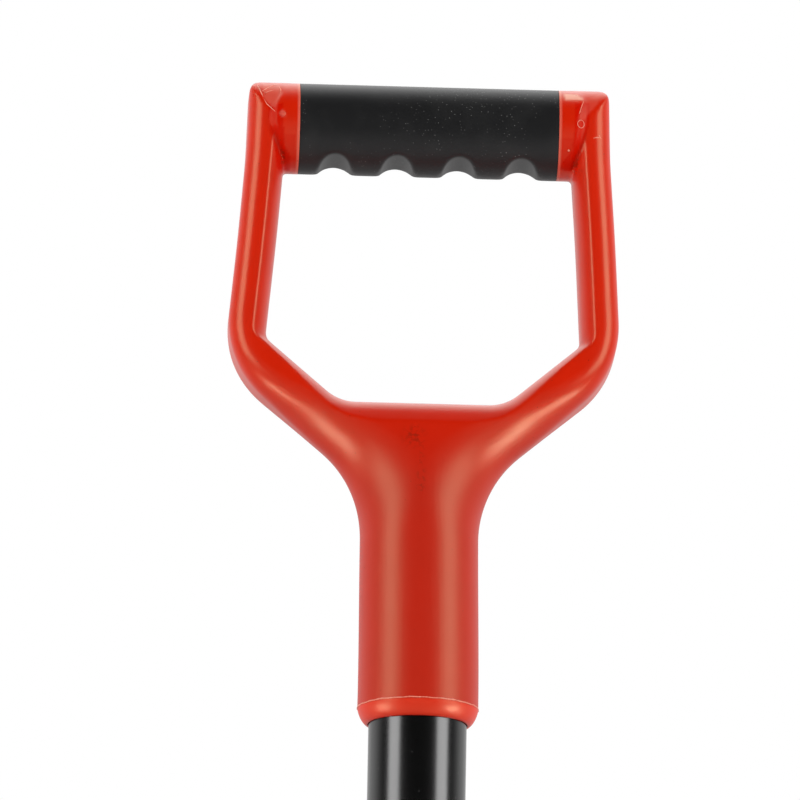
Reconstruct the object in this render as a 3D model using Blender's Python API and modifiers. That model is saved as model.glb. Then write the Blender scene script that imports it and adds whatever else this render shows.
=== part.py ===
"""Digging spade: pressed steel blade, tubular steel shaft and moulded D grip.

Metres, +Z up along the shaft, front of the blade towards -Y. The origin is the
middle of the cutting edge, with the spade standing upright on that edge.
"""

import math

import bmesh
import bpy
import numpy as np
from mathutils import Matrix, Vector

COLLECTION = "digging_spade"

# Fit between two pieces that touch
FIT_GAP = 0.0003

# Shaft tube
TUBE_RADIUS = 0.0160
TUBE_WALL = 0.0015
TUBE_LENGTH = 0.540

# Blade and its rolled socket, one sheet of pressed steel
SHEET = 0.002
BLADE_LENGTH = 0.290
BLADE_TOP_WIDTH = 0.190
BLADE_EDGE_WIDTH = 0.178
BLADE_CORNER = 0.014
SHOULDER_CORNER = 0.007
SHOULDER_CORNER_HEIGHT = 0.0056
EDGE_TRIM = 0.002
BLADE_SWEEP = 0.020
DISH_RADIUS = 0.650
FROG_LENGTH = 0.200
FROG_ANGLE = math.radians(68)
FROG_FOOT_RADIUS = 0.012
NECK_LENGTH = 0.075
NECK_HALF_WIDTH = 0.036
NECK_FILLET = 0.010
SOCKET_LENGTH = 0.085
SOCKET_SEAM = 0.003
SHAFT_IN_SOCKET = 0.081

# Foot treads, flat bars welded on the shoulders
TREAD_THICKNESS = 0.004
TREAD_DEPTH = 0.017
TREAD_END_RADIUS = 0.005
TREAD_EDGE = 0.0008
TREAD_FORWARD = 0.0045
TREAD_INSET = 0.001

# Rivets through socket and shaft
RIVET_RADIUS = 0.003
RIVET_HEAD_RADIUS = 0.006
RIVET_HEAD_HEIGHT = 0.0028
RIVET_FROM_TOP = 0.020
RIVET_PITCH = 0.046

# D grip: outline in the XZ plane, measured from the axis of its crossbar
CROSSBAR_RADIUS = 0.0149
ARM_TOP_HALF_WIDTH = 0.0589
TOP_CORNER = 0.0048
ARM_BEND_HALF_WIDTH = 0.0596
ARM_BEND_DROP = 0.0096
ARM_BEND_RADIUS = 0.200
SHOULDER_HALF_WIDTH = 0.0649
SHOULDER_DROP = 0.0807
SHOULDER_RADIUS = 0.033
THROAT_DROP = 0.1192
THROAT_RADIUS = 0.038
GRIP_WALL = 0.0029
COLLAR_DROP = 0.1934
COLLAR_SPREAD = 0.0005
COLLAR_ROUND_HEIGHT = 0.0054
COLLAR_ROUND_DEPTH = 0.0031
COLLAR_ROUND_POWER = 1.5

# Hand opening of the grip
OPENING_TOP_HALF_WIDTH = 0.0461
OPENING_CORNER_HALF_WIDTH = 0.0512
OPENING_CORNER_DROP = 0.0718
OPENING_CORNER_RADIUS = 0.005
OPENING_FLOOR_HALF_WIDTH = 0.0271
OPENING_FLOOR_DROP = 0.0924
OPENING_FLOOR_RADIUS = 0.015

# Depth of the grip from front to back, its rounded edges, and how far the
# opening widens from the middle of that depth to the front
ARM_HALF_DEPTH = 0.0130
ARM_EDGE_RADIUS = 0.0075
ARM_TOP_HEIGHT = 0.01475
ARM_TOP_RADIUS = 0.0125
ARM_FLARE = 0.0047
DIAGONAL_FLARE = 0.0034
YOKE_FLARE = 0.0063
FLARE_POWER = 3.2

# Round stubs of the crossbar, which lean back into the arms at a steep cone
STUB_CONE_START = 0.0492
STUB_CONE_LENGTH = 0.0018
STUB_CONE_RADIUS = 0.0124

# Sleeve on the crossbar and its finger scallops
SLEEVE_LENGTH = 0.0846
CORE_RADIUS = 0.0092
SCALLOPS = 4
SCALLOP_PITCH = 0.0203
SCALLOP_RADIUS = 0.0062
SCALLOP_EDGE_RADIUS = 0.0016
SCALLOP_DEPTH = 0.0046
SCALLOP_CLEAR = 0.0001

# Screw that fixes the grip, at the back
SHAFT_IN_GRIP = 0.079
SCREW_FROM_RIM = 0.034
SCREW_RADIUS = 0.0024
SCREW_HEAD_RADIUS = 0.0045
SCREW_HEAD_HEIGHT = 0.0022
SCREW_RECESS_DEPTH = 0.0012
SCREW_PAST_TUBE = 0.006

# How finely curved surfaces are divided
TURN_STEPS = 48
SMALL_TURN_STEPS = 24
ARC_STEPS = 8
NECK_COLUMNS = 14
WING_COLUMNS = 5
BEND_STEP = 0.0004
SLOPE_STEP = 0.0005
ROW_STEP = 0.009
OPENING_SECTIONS = 17
SMOOTH_ANGLE = math.radians(35)
MERGE = 0.000005

# How far a cutter runs on past the surface it opens
CUTTER_PAST = 0.002

# Worked out from the sizes above
SOCKET_RADIUS = TUBE_RADIUS + FIT_GAP + SHEET / 2
FROG_REACH = SOCKET_RADIUS + FROG_FOOT_RADIUS
FROG_HEIGHT = FROG_REACH * (1 - math.cos(FROG_ANGLE))
SHAFT_Y = BLADE_SWEEP - FROG_HEIGHT + SOCKET_RADIUS
SOCKET_BASE_Z = BLADE_LENGTH + NECK_LENGTH
SOCKET_TOP_Z = SOCKET_BASE_Z + SOCKET_LENGTH
TUBE_BASE_Z = SOCKET_TOP_Z - SHAFT_IN_SOCKET
TUBE_TOP_Z = TUBE_BASE_Z + TUBE_LENGTH
GRIP_RIM_Z = TUBE_TOP_Z - SHAFT_IN_GRIP
CROSSBAR_Z = GRIP_RIM_Z + COLLAR_DROP + COLLAR_ROUND_HEIGHT
GRIP_BORE_RADIUS = TUBE_RADIUS + FIT_GAP
GRIP_SOCKET_RADIUS = GRIP_BORE_RADIUS + GRIP_WALL


def smooth_step(value):
    """0 below 0, 1 above 1, and an S curve between."""
    value = min(max(value, 0.0), 1.0)
    return value * value * (3 - 2 * value)


def mix(low, high, share):
    return low + (high - low) * share


def round_off(radius, reached):
    """How far a round corner has drawn in, at a distance along it from its start."""
    reached = min(max(reached, 0.0), radius)
    return radius - math.sqrt(radius**2 - reached**2)


def clear_scene():
    for old in list(bpy.data.objects):
        bpy.data.objects.remove(old, do_unlink=True)


def make_collection(name):
    collection = bpy.data.collections.new(name)
    bpy.context.scene.collection.children.link(collection)
    return collection


def make_material(name, colour, roughness, metallic):
    material = bpy.data.materials.new(name)
    material.use_nodes = True
    shader = material.node_tree.nodes["Principled BSDF"]
    shader.inputs["Base Color"].default_value = (*colour, 1.0)
    shader.inputs["Roughness"].default_value = roughness
    shader.inputs["Metallic"].default_value = metallic
    material.diffuse_color = (*colour, 1.0)
    return material


def make_empty(name, parent, location):
    empty = bpy.data.objects.new(name, None)
    empty.location = location
    empty.parent = parent
    parts.objects.link(empty)
    return empty


def place(name, mesh, parent, location=(0, 0, 0), material=None, cutter=False):
    """An object for the mesh, as a part of the spade or as a cutter."""
    item = bpy.data.objects.new(name, mesh)
    item.location = location
    item.parent = parent
    if cutter:
        cutters.objects.link(item)
        item.hide_render = True
        item.display_type = "WIRE"
    else:
        parts.objects.link(item)
        mesh.materials.append(material)
        mesh.shade_smooth()
        mesh.set_sharp_from_angle(angle=SMOOTH_ANGLE)
    return item


def cut(target, tool, operation="DIFFERENCE"):
    """Cut the tool out of the target, or join it on with the operation UNION."""
    boolean = target.modifiers.new(operation.title() + " " + tool.name, "BOOLEAN")
    boolean.operation = operation
    boolean.solver = "EXACT"
    boolean.object = tool


def profile_mesh(name, points):
    """A closed profile in the XZ plane, ready for a Screw modifier."""
    mesh = bpy.data.meshes.new(name)
    count = len(points)
    edges = [(i, (i + 1) % count) for i in range(count)]
    mesh.from_pydata([(x, 0, z) for x, z in points], edges, [])
    return mesh


def chain_mesh(name, points):
    """An open profile in the XZ plane, from axis to axis, ready for a Screw modifier."""
    mesh = bpy.data.meshes.new(name)
    mesh.from_pydata([(x, 0, z) for x, z in points], [(i, i + 1) for i in range(len(points) - 1)], [])
    return mesh


def turn(item, steps=TURN_STEPS):
    screw = item.modifiers.new("Turned", "SCREW")
    screw.steps = steps
    screw.render_steps = steps
    screw.use_merge_vertices = True
    screw.merge_threshold = MERGE
    return item


def rod_mesh(name, radius, length, axis, steps=TURN_STEPS):
    """A plain cylinder centred on the origin along X, Y or Z."""
    mesh = bpy.data.meshes.new(name)
    turned = {"X": Matrix.Rotation(math.pi / 2, 4, "Y"), "Y": Matrix.Rotation(math.pi / 2, 4, "X")}
    shape = bmesh.new()
    bmesh.ops.create_cone(
        shape, cap_ends=True, segments=steps, radius1=radius, radius2=radius,
        depth=length, matrix=turned.get(axis, Matrix.Identity(4)),
    )
    shape.to_mesh(mesh)
    shape.free()
    return mesh


def box_mesh(name, size):
    mesh = bpy.data.meshes.new(name)
    shape = bmesh.new()
    bmesh.ops.create_cube(shape, size=1.0)
    bmesh.ops.scale(shape, vec=size, verts=shape.verts)
    shape.to_mesh(mesh)
    shape.free()
    return mesh


def loft_mesh(name, rings):
    """A closed skin over rings of equally many points, with both ends capped."""
    shape = bmesh.new()
    rows = [[shape.verts.new(point) for point in ring] for ring in rings]
    count = len(rows[0])
    for lower, upper in zip(rows, rows[1:]):
        for i in range(count):
            j = (i + 1) % count
            shape.faces.new((lower[i], lower[j], upper[j], upper[i]))
    shape.faces.new(list(reversed(rows[0])))
    shape.faces.new(rows[-1])
    bmesh.ops.remove_doubles(shape, verts=shape.verts, dist=MERGE)
    bmesh.ops.recalc_face_normals(shape, faces=shape.faces)
    mesh = bpy.data.meshes.new(name)
    shape.to_mesh(mesh)
    shape.free()
    return mesh


def filleted(corners, radii, steps):
    """A chain of 2D corners with an arc of the given radius at each inner corner."""
    points = [Vector(corners[0])]
    for before, corner, after, radius in zip(corners, corners[1:], corners[2:], radii):
        back = (Vector(before) - Vector(corner)).normalized()
        ahead = (Vector(after) - Vector(corner)).normalized()
        half_angle = back.angle(ahead) / 2
        centre = Vector(corner) + (back + ahead).normalized() * radius / math.sin(half_angle)
        first = Vector(corner) + back * radius / math.tan(half_angle) - centre
        last = Vector(corner) + ahead * radius / math.tan(half_angle) - centre
        sweep = first.angle_signed(last)
        for i in range(steps + 1):
            points.append(centre + first @ Matrix.Rotation(sweep * i / steps, 2))
    points.append(Vector(corners[-1]))
    return points


def offset_chain(corners, offsets):
    """The chain with each of its segments moved to its right by its own offset."""
    lines = []
    for start, end, offset in zip(corners, corners[1:], offsets):
        along = (Vector(end) - Vector(start)).normalized()
        right = Vector((along.y, -along.x))
        lines.append((Vector(start) + right * offset, Vector(end) + right * offset, along))
    moved = [lines[0][0]]
    for (start, _, along), (other, _, across) in zip(lines, lines[1:]):
        gap = other - start
        share = gap.cross(across) / along.cross(across)
        moved.append(start + along * share)
    moved.append(lines[-1][1])
    return moved


# Blade

def frog_angle(height):
    """How steeply the frog's flanks stand at a height on the blade."""
    rise = smooth_step((height - BLADE_LENGTH + FROG_LENGTH) / FROG_LENGTH)
    return math.acos(1 - FROG_HEIGHT * rise / FROG_REACH)


def socket_share(height):
    """0 where the sheet is still blade, 1 where it has closed into the socket."""
    return smooth_step((height - BLADE_LENGTH) / NECK_LENGTH)


def bend(distance, height):
    """Direction of the sheet across the blade, at a distance from its centre line."""
    flank = frog_angle(height)
    crest_end = SOCKET_RADIUS * flank
    foot_end = FROG_REACH * flank
    if distance < crest_end:
        pressed = distance / SOCKET_RADIUS
    elif distance < foot_end:
        pressed = flank - (distance - crest_end) / FROG_FOOT_RADIUS
    else:
        pressed = 0.0
    pressed -= distance / DISH_RADIUS
    return mix(pressed, distance / SOCKET_RADIUS, socket_share(height))


def crest_y(height):
    """Front-to-back place of the sheet's centre line."""
    if height >= BLADE_LENGTH:
        return SHAFT_Y - SOCKET_RADIUS
    swept = BLADE_SWEEP * (1 - (1 - height / BLADE_LENGTH) ** 2)
    return swept - FROG_REACH * (1 - math.cos(frog_angle(height)))


def blade_half_width(height):
    """Half of the flat sheet's width, from the cutting edge to the shoulders."""
    height = max(height, 0.0)
    width = mix(BLADE_EDGE_WIDTH, BLADE_TOP_WIDTH, height / BLADE_LENGTH)
    flank = frog_angle(height)
    half = width / 2 + FROG_REACH * (flank - math.sin(flank))
    lower = round_off(BLADE_CORNER, BLADE_CORNER - height)
    upper = round_off(SHOULDER_CORNER, height - BLADE_LENGTH + SHOULDER_CORNER_HEIGHT)
    return half - lower - upper


def neck_half_width(height):
    """Half of the flat sheet's width above the shoulders."""
    closed = math.pi * SOCKET_RADIUS - SOCKET_SEAM / 2
    half = mix(NECK_HALF_WIDTH, closed, socket_share(height) ** 3)
    return half + round_off(NECK_FILLET, NECK_FILLET - height + BLADE_LENGTH)


def sheet_points(height, distances):
    """Points of the bent sheet on one side of its centre line."""
    x, y, reached = 0.0, crest_y(height), 0.0
    points = []
    for distance in distances:
        count = max(math.ceil((distance - reached) / BEND_STEP), 1)
        step = (distance - reached) / count
        for i in range(count):
            direction = bend(reached + (i + 0.5) * step, height)
            x += step * math.cos(direction)
            y += step * math.sin(direction)
        reached = distance
        points.append(Vector((x, y, height)))
    return points


def blade_rows():
    """Heights of the rows, closer together where the sheet changes most."""
    corner_rows, blade_rows_between, shoulder_rows, neck_rows = 5, 15, 3, 8
    eased = [1 - math.cos(math.pi / 2 * i / corner_rows) for i in range(corner_rows + 1)]
    corner = [-EDGE_TRIM] + [BLADE_CORNER * share for share in eased]
    shoulder = BLADE_LENGTH - SHOULDER_CORNER_HEIGHT
    middle = list(np.linspace(BLADE_CORNER, shoulder, blade_rows_between + 1)[1:])
    top = list(np.linspace(shoulder, BLADE_LENGTH, shoulder_rows + 1)[1:])
    fillet = [BLADE_LENGTH + NECK_FILLET * share for share in eased[1:]]
    neck = list(np.linspace(BLADE_LENGTH + NECK_FILLET, SOCKET_BASE_Z, neck_rows + 1)[1:])
    return corner + middle + top, fillet + neck + [SOCKET_TOP_Z]


def make_blade(steel):
    """The pressed sheet: a T-shaped grid bent row by row, then given its thickness."""
    foot = neck_half_width(BLADE_LENGTH)
    blade_heights, neck_heights = blade_rows()
    shape = bmesh.new()
    rows = []
    for height in blade_heights + neck_heights:
        if height <= BLADE_LENGTH:
            edge = blade_half_width(height)
            inner = [foot * i / NECK_COLUMNS for i in range(1, NECK_COLUMNS + 1)]
            wing = [mix(foot, edge, i / WING_COLUMNS) for i in range(1, WING_COLUMNS + 1)]
            distances = inner + wing
        else:
            half = neck_half_width(height)
            distances = [half * i / NECK_COLUMNS for i in range(1, NECK_COLUMNS + 1)]
        middle = Vector((0, crest_y(height), height))
        right = sheet_points(height, distances)
        left = [Vector((-point.x, point.y, point.z)) for point in reversed(right)]
        rows.append([shape.verts.new(point) for point in left + [middle] + right])
    for lower, upper in zip(rows, rows[1:]):
        spare = (len(lower) - len(upper)) // 2
        for i in range(len(upper) - 1):
            j = i + spare
            shape.faces.new((lower[j], lower[j + 1], upper[i + 1], upper[i]))
    bmesh.ops.recalc_face_normals(shape, faces=shape.faces)
    mesh = bpy.data.meshes.new("blade")
    shape.to_mesh(mesh)
    shape.free()
    blade = place("blade", mesh, None, material=steel)
    wall = blade.modifiers.new("Sheet", "SOLIDIFY")
    wall.thickness = SHEET
    wall.offset = 0.0
    wall.use_even_offset = True
    cut(blade, make_edge_trim())
    return blade


def make_edge_trim():
    """A block below the ground, which leaves the cutting edge flat and level."""
    depth = EDGE_TRIM + CUTTER_PAST
    mesh = box_mesh("edge_trim", (2 * BLADE_TOP_WIDTH, BLADE_TOP_WIDTH, depth))
    return place("edge_trim", mesh, None, (0, 0, -depth / 2), cutter=True)


def make_tread(name, side, steel):
    """A flat bar with rounded ends, laid along the top edge of one shoulder."""
    inner, outer = sheet_points(
        BLADE_LENGTH, [neck_half_width(BLADE_LENGTH), blade_half_width(BLADE_LENGTH)]
    )
    inner.x *= side
    outer.x *= side
    along = outer - inner
    length = along.length - TREAD_INSET
    angle = math.atan2(along.y * side, along.x * side)
    mesh = box_mesh(name, (length, TREAD_DEPTH, TREAD_THICKNESS))
    shape = bmesh.new()
    shape.from_mesh(mesh)
    upright = [edge for edge in shape.edges if edge.verts[0].co.z * edge.verts[1].co.z < 0]
    bmesh.ops.bevel(shape, geom=upright, offset=TREAD_END_RADIUS, segments=5, profile=0.5, affect="EDGES")
    shape.to_mesh(mesh)
    shape.free()
    middle = (inner + outer) / 2 + along.normalized() * TREAD_INSET / 2
    height = BLADE_LENGTH + FIT_GAP + TREAD_THICKNESS / 2
    tread = place(name, mesh, None, (middle.x, middle.y - TREAD_FORWARD, height), steel)
    tread.rotation_euler.z = angle
    edge = tread.modifiers.new("Broken edges", "BEVEL")
    edge.width = TREAD_EDGE
    edge.segments = 2
    edge.limit_method = "ANGLE"
    edge.angle_limit = math.radians(60)
    return tread


# Shaft and rivets

def make_tube(steel):
    inner = TUBE_RADIUS - TUBE_WALL
    profile = [(TUBE_RADIUS, TUBE_LENGTH), (TUBE_RADIUS, 0), (inner, 0), (inner, TUBE_LENGTH)]
    mesh = profile_mesh("shaft_tube", profile)
    tube = place("shaft_tube", mesh, shaft, (0, 0, TUBE_BASE_Z), steel)
    return turn(tube)


def rivet_heights():
    upper = SOCKET_TOP_Z - RIVET_FROM_TOP
    return {"rivet_upper": upper, "rivet_lower": upper - RIVET_PITCH}


def domed(radius, height, base, steps=6):
    """Points of a low dome's profile, from its top on the axis to its rim."""
    points = []
    for i in range(1, steps + 1):
        angle = math.pi / 2 * i / steps
        points.append((radius * math.sin(angle), base + height * math.cos(angle)))
    return points


def make_rivet(name, height, steel):
    """A solid rivet along X with a domed head at each end."""
    seat = SOCKET_RADIUS + SHEET / 2 + FIT_GAP
    head = domed(RIVET_HEAD_RADIUS, RIVET_HEAD_HEIGHT, seat)
    top = [(0.0, seat + RIVET_HEAD_HEIGHT)] + head + [(RIVET_RADIUS, seat)]
    bottom = [(x, -z) for x, z in reversed(top)]
    rivet = place(name, chain_mesh(name, top + bottom), shaft, (0, 0, height), steel)
    rivet.rotation_euler.y = math.pi / 2
    return turn(rivet, SMALL_TURN_STEPS)


def make_rivet_hole(name, height):
    length = 2 * (SOCKET_RADIUS + SHEET) + RIVET_HEAD_HEIGHT
    mesh = rod_mesh(name + "_hole", RIVET_RADIUS + FIT_GAP, length, "X", SMALL_TURN_STEPS)
    return place(name + "_hole", mesh, shaft, (0, 0, height), cutter=True)


# Grip

def grip_outline():
    """Right outer outline from the top of the arm to the collar, as (x, z) points."""
    corners = [
        (ARM_TOP_HALF_WIDTH, ARM_TOP_HEIGHT),
        (ARM_BEND_HALF_WIDTH, -ARM_BEND_DROP),
        (SHOULDER_HALF_WIDTH, -SHOULDER_DROP),
        (GRIP_SOCKET_RADIUS, -THROAT_DROP),
        (GRIP_SOCKET_RADIUS + COLLAR_SPREAD, -COLLAR_DROP),
    ]
    return filleted(corners, [ARM_BEND_RADIUS, SHOULDER_RADIUS, THROAT_RADIUS], ARC_STEPS)


def grip_half_width(height):
    """Half-width of the grip at a height from the crossbar's axis."""
    outline = list(reversed(grip_outline()))
    half = float(np.interp(height, [p.y for p in outline], [p.x for p in outline]))
    above = max(height - ARM_TOP_HEIGHT + TOP_CORNER, 0.0)
    return half - round_off(TOP_CORNER, above)


def yoke_share(height):
    """0 along the arms, 1 where the yoke has become the round socket."""
    return smooth_step((-height - OPENING_CORNER_DROP) / (THROAT_DROP - OPENING_CORNER_DROP))


def grip_half_depth(height):
    """Half-depth of the grip, flat along the arms and round at the socket."""
    return mix(ARM_HALF_DEPTH, grip_socket_radius(height), yoke_share(height))


def arm_top_half_depth(height):
    """Half-depth under the rounding that runs along the top of the arms."""
    above = max(height - ARM_TOP_HEIGHT + ARM_TOP_RADIUS, 0.0)
    return ARM_HALF_DEPTH - round_off(ARM_TOP_RADIUS, above)


def grip_socket_radius(height):
    spread = COLLAR_SPREAD * smooth_step((-height - THROAT_DROP) / (COLLAR_DROP - THROAT_DROP))
    return GRIP_SOCKET_RADIUS + spread


def grip_ring(height):
    """One level section of the grip's outer body: a rectangle with rounded edges.

    The rounding along the top meets that of the arms in a mitre, so it limits the depth.
    """
    half_width = grip_half_width(height)
    half_depth = grip_half_depth(height)
    above = grip_half_width(height + SLOPE_STEP)
    slope = (above - grip_half_width(height - SLOPE_STEP)) / (2 * SLOPE_STEP)
    edge = mix(ARM_EDGE_RADIUS, grip_socket_radius(height), yoke_share(height))
    stretch = math.hypot(1, slope) if height < 0 else 1.0
    edge_x = min(edge * stretch, half_width)
    edge_y = min(edge, half_depth)
    ring = rounded_ring(half_width, half_depth, edge_x, edge_y, height)
    if height <= 0:
        return ring
    limit = arm_top_half_depth(height)
    return [(x, max(min(y, limit), -limit), z) for x, y, z in ring]


def rounded_ring(half_width, half_depth, edge_x, edge_y, height, arc=6, flat=4):
    """Points of a rounded rectangle, with equally many whatever its size."""
    quarter = []
    for i in range(arc + 1):
        angle = math.pi / 2 * i / arc
        x = half_width - edge_x * (1 - math.cos(angle))
        y = half_depth - edge_y * (1 - math.sin(angle))
        quarter.append((x, y))
    flat_end = half_width - edge_x
    across = [(flat_end * (1 - 2 * i / flat), half_depth) for i in range(1, flat)]
    back = quarter + across + [(-x, y) for x, y in reversed(quarter)]
    front = [(-x, -y) for x, y in back]
    return [(x, y, height) for x, y in back + front]


def grip_heights():
    """Heights of the body's sections, from the top of the arms to the collar's crease."""
    angles = [math.pi / 2 * i / ARC_STEPS for i in range(ARC_STEPS + 1)]
    heights = [ARM_TOP_HEIGHT - ARM_TOP_RADIUS * (1 - math.cos(angle)) for angle in angles]
    below = [point.y for point in grip_outline() if point.y < heights[-1] - ROW_STEP]
    for level in below:
        count = math.ceil((heights[-1] - level) / ROW_STEP)
        start = heights[-1]
        heights += [mix(start, level, i / count) for i in range(1, count + 1)]
    return heights


def collar_rings(steps=5):
    """Sections of the end below the crease, which draws in at once and then rounds over."""
    power = 2 / COLLAR_ROUND_POWER
    rings = []
    for i in range(1, steps + 1):
        angle = math.pi / 2 * i / steps
        drawn_in = COLLAR_ROUND_DEPTH * (1 - max(math.cos(angle), 0.0) ** power)
        radius = GRIP_SOCKET_RADIUS + COLLAR_SPREAD - drawn_in
        height = -COLLAR_DROP - COLLAR_ROUND_HEIGHT * math.sin(angle) ** power
        rings.append(rounded_ring(radius, radius, radius, radius, height))
    return rings


def opening_ring(depth):
    """Outline of the flared hand opening at a distance in front of the grip's middle."""
    top = CROSSBAR_RADIUS + CUTTER_PAST
    lean = (OPENING_CORNER_HALF_WIDTH - OPENING_TOP_HALF_WIDTH) / OPENING_CORNER_DROP
    corners = [
        (0.0, -OPENING_FLOOR_DROP),
        (OPENING_FLOOR_HALF_WIDTH, -OPENING_FLOOR_DROP),
        (OPENING_CORNER_HALF_WIDTH, -OPENING_CORNER_DROP),
        (OPENING_TOP_HALF_WIDTH - lean * top, top),
    ]
    yoke_depth = grip_half_depth(-OPENING_FLOOR_DROP)
    diagonal_depth = grip_half_depth(-(OPENING_CORNER_DROP + OPENING_FLOOR_DROP) / 2)
    flares = [
        YOKE_FLARE * (abs(depth) / yoke_depth) ** FLARE_POWER,
        DIAGONAL_FLARE * (abs(depth) / diagonal_depth) ** FLARE_POWER,
        ARM_FLARE * (abs(depth) / ARM_HALF_DEPTH) ** FLARE_POWER,
    ]
    half = filleted(
        offset_chain(corners, flares), [OPENING_FLOOR_RADIUS, OPENING_CORNER_RADIUS], ARC_STEPS
    )
    left = [Vector((-point.x, point.y)) for point in reversed(half[1:])]
    return [(point.x, depth, point.y) for point in half + left]


def make_opening_cutter():
    """The space between the arms, narrowest in the middle of their depth."""
    reach = GRIP_SOCKET_RADIUS + CUTTER_PAST
    depths = np.linspace(-reach, reach, OPENING_SECTIONS)
    mesh = loft_mesh("hand_opening", [opening_ring(depth) for depth in depths])
    return place("hand_opening", mesh, grip_centre, cutter=True)


def ring_profile(inner, outer, half_length):
    return [(outer, half_length), (outer, -half_length), (inner, -half_length), (inner, half_length)]


def make_crossbar():
    """The bar that joins the arms: a stub at each end, and the sleeve's core between them."""
    seat = SLEEVE_LENGTH / 2 + FIT_GAP
    root = STUB_CONE_START + STUB_CONE_LENGTH
    end = [
        (0.0, root),
        (STUB_CONE_RADIUS, root),
        (CROSSBAR_RADIUS, STUB_CONE_START),
        (CROSSBAR_RADIUS, seat),
        (CORE_RADIUS, seat),
    ]
    profile = end + [(radius, -along) for radius, along in reversed(end)]
    bar = place("crossbar", chain_mesh("crossbar", profile), grip_centre, cutter=True)
    bar.rotation_euler.y = math.pi / 2
    return turn(bar)


def make_shaft_bore():
    """The blind bore for the tube, open at the collar."""
    depth = SHAFT_IN_GRIP + FIT_GAP
    mesh = rod_mesh("shaft_bore", GRIP_BORE_RADIUS, depth + CUTTER_PAST, "Z")
    middle = GRIP_RIM_Z + (depth - CUTTER_PAST) / 2
    return place("shaft_bore", mesh, shaft, (0, 0, middle), cutter=True)


def make_screw_hole():
    """Clearance hole through the grip's back wall and into the tube."""
    length = GRIP_SOCKET_RADIUS
    mesh = rod_mesh("screw_hole", SCREW_RADIUS + FIT_GAP, length, "Y", SMALL_TURN_STEPS)
    middle = GRIP_SOCKET_RADIUS - length / 2 + CUTTER_PAST
    return place("screw_hole", mesh, shaft, (0, middle, GRIP_RIM_Z + SCREW_FROM_RIM), cutter=True)


def screw_seat_y():
    return GRIP_SOCKET_RADIUS - SCREW_RECESS_DEPTH


def make_screw_recess():
    """Flat seat for the screw's head in the round back of the grip."""
    length = SCREW_RECESS_DEPTH + CUTTER_PAST
    mesh = rod_mesh("screw_recess", SCREW_HEAD_RADIUS + 2 * FIT_GAP, length, "Y", SMALL_TURN_STEPS)
    middle = screw_seat_y() + length / 2
    return place("screw_recess", mesh, shaft, (0, middle, GRIP_RIM_Z + SCREW_FROM_RIM), cutter=True)


def make_screw(steel):
    """A pan-head screw from the back, its point inside the tube."""
    seat = screw_seat_y() + FIT_GAP
    point = TUBE_RADIUS - TUBE_WALL - SCREW_PAST_TUBE
    head = domed(SCREW_HEAD_RADIUS, SCREW_HEAD_HEIGHT, seat)
    profile = [(0.0, seat + SCREW_HEAD_HEIGHT)] + head
    profile += [(SCREW_RADIUS, seat), (SCREW_RADIUS, point + SCREW_RADIUS), (0.0, point)]
    mesh = chain_mesh("grip_screw", profile)
    screw = place("grip_screw", mesh, shaft, (0, 0, GRIP_RIM_Z + SCREW_FROM_RIM), steel)
    screw.rotation_euler.x = -math.pi / 2
    return turn(screw, SMALL_TURN_STEPS)


def make_grip_frame(plastic):
    rings = [grip_ring(height) for height in grip_heights()] + collar_rings()
    frame = place("grip_frame", loft_mesh("grip_frame", rings), grip_centre, material=plastic)
    cut(frame, make_opening_cutter())
    cut(frame, make_crossbar(), "UNION")
    cut(frame, make_shaft_bore())
    return frame


def scallop_half_outline(arc=6, edge=3):
    """Right half of one hollow: a round roof that eases out into the underside."""
    roof = SCALLOP_DEPTH - CROSSBAR_RADIUS
    reach = SCALLOP_RADIUS + SCALLOP_EDGE_RADIUS
    turned = math.acos(1 - (SCALLOP_DEPTH + SCALLOP_CLEAR) / reach)
    side = reach * math.sin(turned)
    foot = -CROSSBAR_RADIUS - SCALLOP_CLEAR
    points = []
    for i in range(arc + 1):
        angle = turned * i / arc
        x = SCALLOP_RADIUS * math.sin(angle)
        points.append((x, roof - SCALLOP_RADIUS * (1 - math.cos(angle))))
    for i in range(edge - 1, -1, -1):
        angle = turned * i / edge
        x = side - SCALLOP_EDGE_RADIUS * math.sin(angle)
        points.append((x, foot + SCALLOP_EDGE_RADIUS * (1 - math.cos(angle))))
    points.append((side, foot - CUTTER_PAST))
    return points


def make_scallop(name, centre_x):
    """One finger hollow, cut straight across the underside of the sleeve."""
    half = scallop_half_outline()
    outline = [(-x, z) for x, z in reversed(half[1:])] + half
    reach = CROSSBAR_RADIUS + CUTTER_PAST
    mesh = loft_mesh(name, [[(x, y, z) for x, z in outline] for y in (-reach, reach)])
    return place(name, mesh, grip_centre, (centre_x, 0, 0), cutter=True)


def make_sleeve(rubber):
    half = SLEEVE_LENGTH / 2
    mesh = profile_mesh("grip_sleeve", ring_profile(CORE_RADIUS + FIT_GAP, CROSSBAR_RADIUS, half))
    sleeve = place("grip_sleeve", mesh, grip_centre, material=rubber)
    sleeve.rotation_euler.y = math.pi / 2
    turn(sleeve)
    for i in range(SCALLOPS):
        centre_x = (i - (SCALLOPS - 1) / 2) * SCALLOP_PITCH
        cut(sleeve, make_scallop(f"scallop_{i + 1}", centre_x))
    return sleeve


clear_scene()
parts = make_collection(COLLECTION)
cutters = make_collection("cutters")
shaft = make_empty("shaft_axis", None, (0, SHAFT_Y, 0))
grip_centre = make_empty("crossbar_centre", shaft, (0, 0, CROSSBAR_Z))

orange_plastic = make_material("orange_plastic", (0.62, 0.035, 0.005), 0.38, 0.0)
black_rubber = make_material("black_rubber", (0.018, 0.018, 0.019), 0.62, 0.0)
black_paint = make_material("black_paint", (0.012, 0.012, 0.012), 0.32, 0.0)
zinc_steel = make_material("zinc_steel", (0.55, 0.55, 0.53), 0.35, 1.0)

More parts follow.
